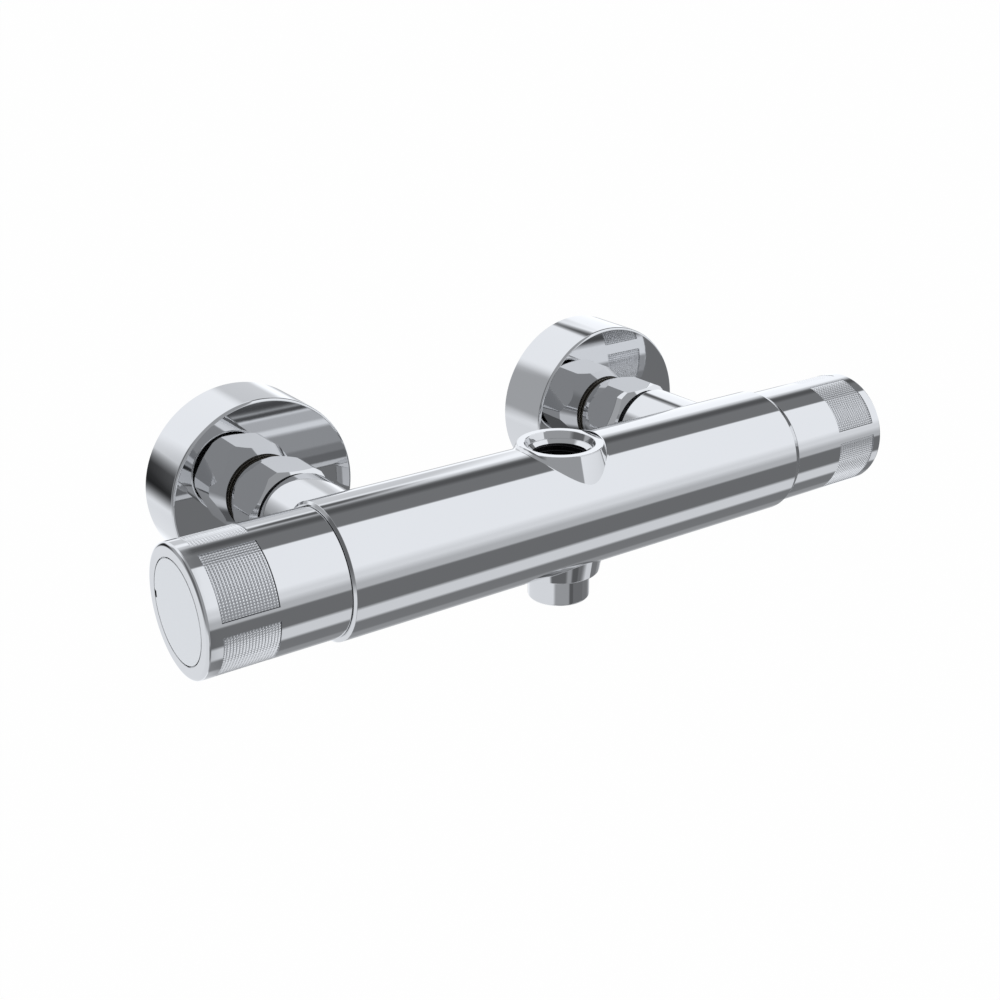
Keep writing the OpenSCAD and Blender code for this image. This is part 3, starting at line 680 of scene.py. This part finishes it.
def make_body():
    """Bar, outlets and stubs as one piece with rolled fillets, then the bores in painted shade."""
    sizes = bpy.context.scene.mixer_bar
    neck, neck_fillet, thread, throat = top_outlet_shells(sizes)
    shells = [bar_shell(), neck, neck_fillet] + collar_shells(sizes)
    spigot_radius, spigot_start = 12 * MM, NUT_STOP - 3 * MM
    stub_radius, stub_start, stub_stop = 15.45 * MM, NUT_STOP + 3.1 * MM, 80 * MM
    stub = outline([
        (spigot_radius, stub_start), (stub_radius, stub_start, 0.5 * MM), (stub_radius, stub_stop)])
    spigot = outline([(spigot_radius, spigot_start), (spigot_radius, stub_start)])
    spigots = []
    for node in ("rosette_left", "rosette_right"):
        x = cad_middle(node, 0)
        shells.append(turned(stub, 192).placed(along_inlet(x)))
        spigots.append(turned(spigot, 96).placed(along_inlet(x)))
        fillet = flared_fillet(BAR_RADIUS, stub_radius, 0.0, 0.0, sizes.stub_fillet)
        shells.append(fillet.placed(toward_wall(x)))
    add_object("mixer_body", joined(shells), "chrome", MIXER, ["body"])
    # The thread, the throat and the spigots are painted near-black as shade
    add_object("top_outlet_thread", joined([thread, throat]), "painted_shade_bore", MIXER)
    add_object("inlet_spigots", joined(spigots), "painted_shade_bore", MIXER)


def make_rosettes():
    """The two wall rosettes with a rolled front edge."""
    wall, hole, front_round = 1.5 * MM, 13.42 * MM, 1.0 * MM
    inner, inner_front = ROSETTE_RADIUS - wall, ROSETTE_FRONT - wall
    lines = outline([
        (inner, inner_front), (inner, 0, 0.2 * MM), (ROSETTE_RADIUS, 0, 0.3 * MM),
        (ROSETTE_RADIUS, ROSETTE_FRONT - front_round)])
    lines += oval_edge(ROSETTE_RADIUS, ROSETTE_FRONT, front_round, front_round, 10)
    lines += outline([
        (ROSETTE_RADIUS - front_round, ROSETTE_FRONT), (hole, ROSETTE_FRONT, 0.25 * MM),
        (hole, inner_front, 0.1 * MM), (inner, inner_front)])
    for side in ("left", "right"):
        node = "rosette_" + side
        shell = turned(lines, 320).placed(along_inlet(cad_middle(node, 0)))
        add_object("rosette_cup_" + side, shell, "chrome", MIXER, [node])


def nut_shell(turn, steps=25):
    """A union nut: six flats, six turned corners and a cone at each end, round local Z."""
    flat, corner = 15 * MM, 16.4 * MM
    back, front, back_slope, front_slope = 13.8 * MM, 14.3 * MM, 3.0, 0.8
    thread, mouth, lip = 13.24 * MM, 12.05 * MM, 3 * MM
    sector = math.pi / 6
    half = math.acos(flat / corner)
    up = np.array([0, 0, 1.0])
    shells = []
    for k in range(12):
        middle = turn + sector * (k + 1)
        is_flat = k % 2 == 0
        spread = half if is_flat else sector - half
        angles = np.linspace(middle - spread, middle + spread, steps)
        side = radial = circle(1.0, angles, 0.0)
        reach = np.full(steps, corner)
        if is_flat:
            side = same_normals([math.cos(middle), math.sin(middle), 0.0], steps)
            reach = flat / np.cos(angles - middle)
        low = circle(reach, angles, NUT_START + (reach - back) * back_slope)
        high = circle(reach, angles, NUT_STOP - (reach - front) * front_slope)
        back_normal = unit(radial * back_slope - up)
        front_normal = unit(radial * front_slope + up)
        back_rim, front_rim = circle(back, angles, NUT_START), circle(front, angles, NUT_STOP)
        shells += [
            band(back_rim, low, back_normal, closed=False),
            band(low, high, side, closed=False),
            band(high, front_rim, front_normal, closed=False)]
    bore_lines = outline([
        (thread, NUT_STOP - lip), (thread, NUT_START, 0.1 * MM), (back, NUT_START)])
    mouth_lines = outline([(front, NUT_STOP), (mouth, NUT_STOP, 0.2 * MM), (mouth, NUT_STOP - lip)])
    return joined(shells + [turned(bore_lines, 144), turned(mouth_lines, 144)])


def make_nuts():
    """The two union nuts."""
    for side, degrees in NUT_TURNS.items():
        node = "union_nut_" + side
        shell = nut_shell(math.radians(degrees)).placed(along_inlet(cad_middle(node, 0)))
        add_object("hex_nut_" + side, shell, "chrome", side + "_union_nut", [node])


def make_nipple():
    """The hose nipple with its key socket."""
    radius = half_width("hose_nipple", 0)
    start, stop = -cad_span("body", 2)[0], -cad_span("hose_nipple", 2)[0]
    shoulder, mouth, key, bore, bore_start = 9.2 * MM, 7.4 * MM, 11 * MM, 5 * MM, 14 * MM
    key_floor = stop - 7 * MM
    count = 192
    outer = outline([
        (shoulder, start), (radius, start, 0.12 * MM), (radius, stop, 0.6 * MM), (mouth, stop)])
    inner = outline([(bore, key_floor), (bore, bore_start)])
    angles = round_angles(count)
    # The key socket has its corners at 0 and every 60 degrees
    hexagon = key / 2 / np.cos(np.mod(angles, math.pi / 3) - math.pi / 6)
    facing = same_normals([0.0, 0.0, 1.0], count)
    wall_angle = np.floor(angles / (math.pi / 3)) * math.pi / 3 + math.pi / 6
    wall = -circle(1.0, wall_angle, 0.0)
    key_top, key_foot = circle(hexagon, angles, stop), circle(hexagon, angles, key_floor)
    shell = joined([
        turned(outer, count), turned(inner, count),
        band(circle(mouth, angles, stop), key_top, facing),
        band(key_top, key_foot, wall),
        band(key_foot, circle(bore, angles, key_floor), facing)])
    add_object("hose_stub", shell.placed(TOWARD_BOTTOM), "chrome", MIXER, ["hose_nipple"])


def window_shells(radius, low, high, first, sizes, steps=33):
    """Walls and plain floor of one window that starts at an angle."""
    floor = radius - sizes.window_depth
    last = first + sizes.window_angle
    arc = np.linspace(first, last, steps)
    ends = np.array([low, high])
    shells = []
    for angles, heights, facing, order in (
            (arc, low, [0, 0, 1], 1), (arc, high, [0, 0, -1], -1),
            (np.full(2, first), ends, [-math.sin(first), math.cos(first), 0], -1),
            (np.full(2, last), ends, [math.sin(last), -math.cos(last), 0], 1)):
        rows = [circle(reach, angles, heights) for reach in (radius, floor)][::order]
        shells.append(band(*rows, same_normals(facing, len(angles)), closed=False))
    back = arc[::-1]
    radial = circle(1.0, back, 0.0)
    shells.append(band(circle(floor, back, low), circle(floor, back, high), radial, closed=False))
    return shells


def knurl_shell(radius, low, high, first, sizes):
    """Flat-sided points of the knurl that fills one window."""
    along, around = sizes.knurls_along, sizes.knurls_round
    margin, foot, tip, tip_share = 0.07 * MM, radius - 0.43 * MM, radius - 0.05 * MM, 0.4
    side_margin = margin / radius
    angles = np.linspace(
        first + side_margin, first + sizes.window_angle - side_margin, around + 1)
    heights = np.linspace(low + margin, high - margin, along + 1)
    up, ahead = np.array([-1, -1, 1, 1]), np.array([-1, 1, 1, -1])
    points, faces, normals = [], [], []
    for below, above in zip(heights, heights[1:]):
        for begin, end in zip(angles, angles[1:]):
            cell = []
            for share, reach in ((1.0, foot), (tip_share, tip)):
                cell += list(circle(
                    reach, (begin + end) / 2 + ahead * share * (end - begin) / 2,
                    (below + above) / 2 + up * share * (above - below) / 2))
            start = len(points)
            points += cell
            for ring in ((4, 5, 6, 7), (0, 1, 5, 4), (1, 2, 6, 5), (2, 3, 7, 6), (3, 0, 4, 7)):
                faces.append(tuple(start + k for k in ring))
                edge, next_edge = cell[ring[1]] - cell[ring[0]], cell[ring[2]] - cell[ring[0]]
                normals += [unit(np.cross(edge, next_edge))] * 4
    return Shell(points, faces, normals)


def make_handle(side):
    """One handle shell with its windows, and its knurl."""
    sizes = bpy.context.scene.mixer_handles
    body, place = HANDLES[side]
    node = "handle_" + side
    low, high = cad_span(node, 0)
    start, face = (-high, -low) if side == "left" else (low, high)
    start -= HANDLE_REACH
    radius, span = HANDLE_RADIUS, sizes.window_angle
    inner, inner_depth = radius - 2.2 * MM, 12 * MM
    groove, cover_floor, hub, hub_floor = COVER_RADIUS + 0.3 * MM, 2 * MM, 13 * MM, 8 * MM
    window_high = face - WINDOW_INSETS[side]
    window_low = window_high - sizes.window_length
    rise, half = math.radians(WINDOW_RISES[side] - 90), span / 2
    first_window = rise - half if side == "left" else math.pi - (rise + half)
    starts = [first_window + k * FULL_TURN / sizes.windows for k in range(sizes.windows)]

    def in_window(centre):
        if not window_low < centre[2] < window_high:
            return False
        angle = math.atan2(centre[1], centre[0])
        return any((angle - begin) % FULL_TURN < span for begin in starts)

    ends = [begin + span for begin in starts]
    edges = [angle % FULL_TURN for angle in starts + ends]
    angles = np.unique(np.round(np.concatenate([round_angles(300), edges]), 6))
    back = outline([
        (inner, start + inner_depth), (inner, start, EDGE), (radius, start, 0.08 * MM),
        (radius, face - sizes.edge_depth)])
    lines = cut_lines(back, [window_low, window_high])
    lines += oval_edge(radius, face, sizes.edge_width, sizes.edge_depth)
    lines += outline([
        (radius - sizes.edge_width, face), (groove, face, 0.12 * MM), (groove, face - cover_floor),
        (hub, face - cover_floor), (hub, face - hub_floor)])
    shells = [turned(lines, skip=in_window, angles=angles)]
    knurls = []
    for begin in starts:
        shells += window_shells(radius, window_low, window_high, begin, sizes)
        knurls.append(knurl_shell(radius, window_low, window_high, begin, sizes))
    add_object("handle_shell_" + side, joined(shells).placed(place), "chrome", body, [node])
    add_object("handle_knurl_" + side, joined(knurls).placed(place), "knurl", body)


def make_cover(side):
    """The flat disc in a handle's face, with its pry notch on the wall side."""
    body, place = HANDLES[side]
    node = "cover_" + side
    low, high = cad_span(node, 0)
    face = -low if side == "left" else high
    thickness, bevel, notch_half, notch_depth = 1.9 * MM, 0.12 * MM, 1.35 * MM, 1.2 * MM
    count = 360
    angles = round_angles(count)
    reach = np.full(count, COVER_RADIUS)
    notch = np.abs(angles - math.pi / 2) < math.asin(notch_half / COVER_RADIUS)
    reach[notch] = (COVER_RADIUS - notch_depth) / np.sin(angles[notch])
    rim = circle(reach, angles, 0.0)
    radial = circle(1.0, angles, 0.0)
    facing = same_normals([0.0, 0.0, 1.0], count)

    def ring(share, height):
        return rim * share + np.array([0, 0, height])

    face_ring = ring(1 - bevel / COVER_RADIUS, face)
    side_wall = band(ring(1, face - thickness), ring(1, face - bevel), radial)
    edge = band(ring(1, face - bevel), face_ring, radial, facing)
    top = Shell(face_ring, [tuple(range(count))], facing)
    disc = joined([side_wall, edge, top]).placed(place)
    add_object("cover_disc_" + side, disc, "satin_chrome", body, [node])


def make_valve_springs():
    """The coil in each check valve, built at the length of its solid."""
    turns, steps, sides, wire, play = 6, 36, 10, 0.3 * MM, 0.02 * MM
    angles = np.arange(turns * steps + 1)[:, None] * FULL_TURN / steps
    rounds = round_angles(sides)[None, :]
    ahead = same_normals([0.0, 0.0, 1.0], sides)
    for joint in frame["record"]["behaviour"]["joints"]:
        if not joint["name"].endswith("_valve_lift"):
            continue
        side = joint["name"].split("_")[0]
        node = "valve_spring_" + side
        fixed_end, free_end = cad_span(node, 1)
        x, z = cad_middle(node, 0), cad_middle(node, 2)
        along = np.linspace(free_end - wire, fixed_end + wire, len(angles))[:, None]
        reach = cad_span(node, 2)[1] - z - wire + wire * np.cos(rounds)
        points = np.stack([x + reach * np.cos(angles), along + wire * np.sin(rounds),
                           z + reach * np.sin(angles)], 2)
        normals = np.stack([np.cos(rounds) * np.cos(angles), np.sin(rounds) + 0 * angles,
                            np.cos(rounds) * np.sin(angles)], 2)
        start = Shell(points[0][::-1], [tuple(range(sides))], -ahead)
        stop = Shell(points[-1], [tuple(range(sides))], ahead)
        coil = joined([grid_shell(points, normals, closed=True), start, stop])
        piece = add_object("valve_coil_" + side, coil, "steel", MIXER, [node])
        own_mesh(piece)


def dress_inner_pieces():
    """Gives every CAD node that stays its finish."""
    for entry in frame["record"]["subparts"]:
        piece = frame["nodes"][entry["node"]]
        piece.data.materials.clear()
        # The unions take the dark colour of painted shade in place of their slot's finish
        slot = "painted_shade_union" if entry["node"] in UNIONS_IN_PAINTED_SHADE else entry["material_slot"]
        piece.data.materials.append(finish(slot))


# Long screens that run along the bar on the right of the studio: span round the bar's axis in
# degrees with 0 in front and 90 above, reach to the right from 0 to 1, grey, soft edge in degrees
LONG_SCREENS = (
    (138, 225, 1, 238, 14),
    (-172, -128, 0.72, 160, 8),
    (90, 128, 1, 110, 2),
    (118, 132, 1, 80, 8),
    (10, 89, 1, 228, 2),
    (-16, 10, 1, 172, 1.5),
    (-1, 15, 1, 208, 10),
    (-50, -16, 1, 104, 3),
    (-105, -50, 1, 112, 6),
    (-75, -50, 0.76, 200, 6),
)

# Cards on the left and behind: span by bearing with 0 in front and 90 on the right, span by height
# above the horizon, grey, soft edge, with spans and edge in degrees
CARDS = (
    (125, 235, -90, 60, 228, 14),
    (-132, -78, -10, 40, 96, 16),
    (-180, -52, -90, -18, 210, 10),
    (-151, -126, -14, 28, 155, 8),
    (-166, -148, -16, 3, 35, 8),
    (4, 70, -48, -15, 84, 6),
    (-62, -12, -62, -38, 95, 8),
)

# Cards in front of the long screens
SMALL_CARDS = (
    (147, 166, 5, 26, 192, 5),
    (147, 156, 30, 38, 85, 4),
)

# Grey of the bare room on the right and on the left, and where the one gives way to the other
ROOM_RIGHT = 135.0
ROOM_LEFT = 146.0
ROOM_SEAM = 0.28
ROOM_SEAM_WIDTH = 0.03


def limited(share):
    """A share kept between 0 and 1."""
    return min(1.0, max(0.0, share))


def within(place, low, high, soft):
    """1 inside a span of degrees and 0 outside it, with a soft step at each end."""
    place = low + (place - low + 90) % 360 - 90
    return limited((place - low) / soft + 0.5) * limited((high - place) / soft + 0.5)


def with_cards(base, cards, bearing, rise):
    """A grey with the cards that cover it in one direction."""
    for first, last, low, high, grey, soft in cards:
        base += (grey - base) * within(bearing, first, last, soft) * within(rise, low, high, soft)
    return base


def studio_grey(direction):
    """Grey that polished metal shows of the studio in one direction."""
    x, y, z = direction
    bearing = math.degrees(math.atan2(x, -y))
    rise = math.degrees(math.asin(max(-1.0, min(1.0, z))))
    round_bar = math.degrees(math.atan2(z, -y))
    right = ROOM_RIGHT
    for low, high, reach, grey, soft in LONG_SCREENS:
        right += (grey - right) * within(round_bar, low, high, soft) * (x <= reach)
    left = with_cards(ROOM_LEFT, CARDS, bearing, rise)
    room = left + (right - left) * limited((x - ROOM_SEAM) / ROOM_SEAM_WIDTH)
    return with_cards(room, SMALL_CARDS, bearing, rise)


def linear(grey):
    """Linear light of an 8-bit grey."""
    value = grey / 255
    return value / 12.92 if value <= 0.04045 else ((value + 0.055) / 1.055) ** 2.4


def screen_material():
    """Soft screens that glow by the grey painted on them."""
    material, maker = new_material("studio screens")
    paint = maker.node("ShaderNodeVertexColor", {"layer_name": "glow"})
    light = maker.node("ShaderNodeEmission", None, {"Color": paint, "Strength": 1.0})
    maker.node("ShaderNodeOutputMaterial", None, {"Surface": light})
    return material


def seen_directly(maker):
    """1 for rays from the camera, a mirror or glass, and 0 for light that falls on things."""
    outputs = maker.node("ShaderNodeLightPath").socket.node.outputs
    camera, glossy, glass = (
        Value(maker, outputs[f"Is {kind} Ray"]) for kind in ("Camera", "Glossy", "Transmission"))
    return camera + glossy + glass


def floor_material():
    """Pale floor that shows white to the camera and keeps a soft shadow."""
    glow_share = 0.98
    material, maker = new_material("pale floor")
    seen = seen_directly(maker)
    plain = maker.node("ShaderNodeBsdfDiffuse", None, {"Color": (0.8, 0.8, 0.8, 1)})
    glow = maker.node("ShaderNodeEmission", None, {"Color": (1, 1, 1, 1), "Strength": 1.0})
    both = maker.node("ShaderNodeMixShader", None, {0: glow_share, 1: plain, 2: glow})
    surface = maker.node("ShaderNodeMixShader", None, {0: seen, 1: plain, 2: both})
    maker.node("ShaderNodeOutputMaterial", None, {"Surface": surface})
    return material


def make_world():
    """An even white world, a little dimmer as light than as background."""
    light_strength = 0.85
    world = bpy.data.worlds.new("studio")
    bpy.context.scene.world = world
    world.use_nodes = True
    maker = Maker(world.node_tree)
    strength = seen_directly(maker) * (1 - light_strength) + light_strength
    background = maker.node(
        "ShaderNodeBackground", None, {"Color": (1, 1, 1, 1), "Strength": strength})
    maker.node("ShaderNodeOutputWorld", None, {"Surface": background})


def add_stage_mesh(name, points, faces, material):
    """A piece of the studio that isn't part of the object."""
    mesh = bpy.data.meshes.new(name)
    mesh.from_pydata(points, [], faces)
    mesh.materials.append(material)
    piece = linked(name, mesh)
    return piece


def make_screens(radius):
    """A round tent of screens whose glow shows only in the metal."""
    columns, rows, first_turn = 240, 160, math.radians(-0.5)
    points, greys = [], []
    for i in range(rows + 1):
        # Rings lie round the bar's axis, so that the long screens have straight edges along it
        tilt = math.pi * i / rows
        for j in range(columns):
            turn = first_turn + FULL_TURN * j / columns
            direction = (
                -math.cos(tilt), -math.sin(tilt) * math.cos(turn), math.sin(tilt) * math.sin(turn))
            points.append([radius * part for part in direction])
            greys.append(studio_grey(direction))
    faces = grid_faces(rows + 1, columns)
    screens = add_stage_mesh("screens", points, faces, screen_material())
    paint = screens.data.color_attributes.new("glow", "FLOAT_COLOR", "POINT")
    tint = bpy.context.scene.mixer_studio.screen_tint
    # The greys are the ones that plate shows, so the screens glow by what plate takes away
    plate = bpy.context.scene.mixer_finishes.chrome[0]
    for entry, grey in zip(paint.data, greys):
        level = linear(grey) / plate
        entry.color = (level * tint[0], level * tint[1], level * tint[2], 1)
    return screens


def make_lamp():
    """A weak soft lamp at the front left, for the finishes that aren't metal."""
    place = Vector((-0.5, -0.9, 1.1))
    aim = Vector((0, -0.08, 0))
    lamp = bpy.data.lights.new("soft lamp", "AREA")
    lamp.energy = 6
    lamp.size = 1.0
    lamp_object = linked("soft lamp", lamp)
    lamp_object.location = place
    lamp_object.rotation_euler = (aim - place).to_track_quat("-Z", "Y").to_euler()
    lamp_object.visible_glossy = False


def make_camera(studio):
    """The camera at the photo's place, turn and roll."""
    lens = bpy.data.cameras.new("camera")
    lens.lens = studio.lens
    lens.sensor_width = 36
    lens.sensor_fit = "HORIZONTAL"
    lens.clip_start = 0.01
    lens.clip_end = 200
    camera = linked("camera", lens)
    turn = Matrix.Rotation(-studio.camera_azimuth, 4, "Z")
    tilt = Matrix.Rotation(math.pi / 2 - studio.camera_elevation, 4, "X")
    roll = Matrix.Rotation(studio.camera_roll, 4, "Z")
    camera.matrix_world = Matrix.Translation(studio.camera_place) @ turn @ tilt @ roll
    bpy.context.scene.camera = camera


def make_studio():
    """Floor, screens, lamp, world and camera."""
    studio = bpy.context.scene.mixer_studio
    half, drop = 60.0, -studio.floor_drop
    corners = [(-half, -half, drop), (half, -half, drop), (half, half, drop), (-half, half, drop)]
    floor = add_stage_mesh("floor", corners, [(0, 1, 2, 3)], floor_material())
    floor.visible_glossy = False
    screens = make_screens(studio.screen_radius)
    screens.location = (0, BAR_Y, 0)
    for kind in ("camera", "diffuse", "shadow", "transmission"):
        setattr(screens, "visible_" + kind, False)
    make_lamp()
    make_world()
    make_camera(studio)
    bpy.context.scene.view_settings.view_transform = "Standard"


class MIXER_OT_inner(bpy.types.Operator):
    """Give every solid that stays its finish"""
    bl_idname = "mixer.inner"
    bl_label = "Inner pieces"

    def execute(self, context):
        dress_inner_pieces()
        return {"FINISHED"}


class MIXER_OT_body(bpy.types.Operator):
    """Build the bar with its outlets and stubs"""
    bl_idname = "mixer.body"
    bl_label = "Body"

    def execute(self, context):
        make_body()
        return {"FINISHED"}


class MIXER_OT_rosettes(bpy.types.Operator):
    """Build both wall rosettes"""
    bl_idname = "mixer.rosettes"
    bl_label = "Rosettes"

    def execute(self, context):
        make_rosettes()
        return {"FINISHED"}


class MIXER_OT_nuts(bpy.types.Operator):
    """Build both union nuts"""
    bl_idname = "mixer.nuts"
    bl_label = "Union nuts"

    def execute(self, context):
        make_nuts()
        return {"FINISHED"}


class MIXER_OT_nipple(bpy.types.Operator):
    """Build the hose nipple"""
    bl_idname = "mixer.nipple"
    bl_label = "Hose nipple"

    def execute(self, context):
        make_nipple()
        return {"FINISHED"}


class MIXER_OT_springs(bpy.types.Operator):
    """Build the coil in each check valve"""
    bl_idname = "mixer.springs"
    bl_label = "Valve springs"

    def execute(self, context):
        make_valve_springs()
        return {"FINISHED"}


class MIXER_OT_handles(bpy.types.Operator):
    """Build both handles with their knurled windows"""
    bl_idname = "mixer.handles"
    bl_label = "Handles"

    def execute(self, context):
        for side in HANDLES:
            make_handle(side)
        return {"FINISHED"}


class MIXER_OT_covers(bpy.types.Operator):
    """Build the disc in the face of each handle"""
    bl_idname = "mixer.covers"
    bl_label = "Covers"

    def execute(self, context):
        for side in HANDLES:
            make_cover(side)
        return {"FINISHED"}


class MIXER_OT_studio(bpy.types.Operator):
    """Set up the floor, the light and the camera"""
    bl_idname = "mixer.studio"
    bl_label = "Studio"

    def execute(self, context):
        make_studio()
        return {"FINISHED"}


OPERATORS = (
    MIXER_OT_inner, MIXER_OT_body, MIXER_OT_rosettes, MIXER_OT_nuts, MIXER_OT_nipple,
    MIXER_OT_springs, MIXER_OT_handles, MIXER_OT_covers, MIXER_OT_studio)


class MIXER_PT_panel(bpy.types.Panel):
    """Steps that dress the mixer"""
    bl_idname = "MIXER_PT_panel"
    bl_label = "Shower bar mixer"
    bl_space_type = "VIEW_3D"
    bl_region_type = "UI"
    bl_category = "Mixer"

    def draw(self, context):
        for operator in OPERATORS:
            self.layout.operator(operator.bl_idname)
        for group in GROUPS:
            settings = getattr(context.scene, group)
            for name in settings.__annotations__:
                self.layout.prop(settings, name)


GROUPS = {
    "mixer_bar": MixerBarSettings,
    "mixer_handles": MixerHandleSettings,
    "mixer_finishes": MixerFinishSettings,
    "mixer_studio": MixerStudioSettings,
}


def register():
    for group in GROUPS.values():
        bpy.utils.register_class(group)
    for operator in OPERATORS:
        bpy.utils.register_class(operator)
    bpy.utils.register_class(MIXER_PT_panel)
    for name, group in GROUPS.items():
        setattr(bpy.types.Scene, name, PointerProperty(type=group))


def unregister():
    for name in GROUPS:
        delattr(bpy.types.Scene, name)
    bpy.utils.unregister_class(MIXER_PT_panel)
    for operator in reversed(OPERATORS):
        bpy.utils.unregister_class(operator)
    for group in reversed(list(GROUPS.values())):
        bpy.utils.unregister_class(group)


def main():
    """Registers the add-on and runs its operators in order."""
    register()
    bpy.ops.mixer.inner()
    bpy.ops.mixer.body()
    bpy.ops.mixer.rosettes()
    bpy.ops.mixer.nuts()
    bpy.ops.mixer.nipple()
    bpy.ops.mixer.springs()
    bpy.ops.mixer.handles()
    bpy.ops.mixer.covers()
    bpy.ops.mixer.studio()


if __name__ == "__main__":
    main()
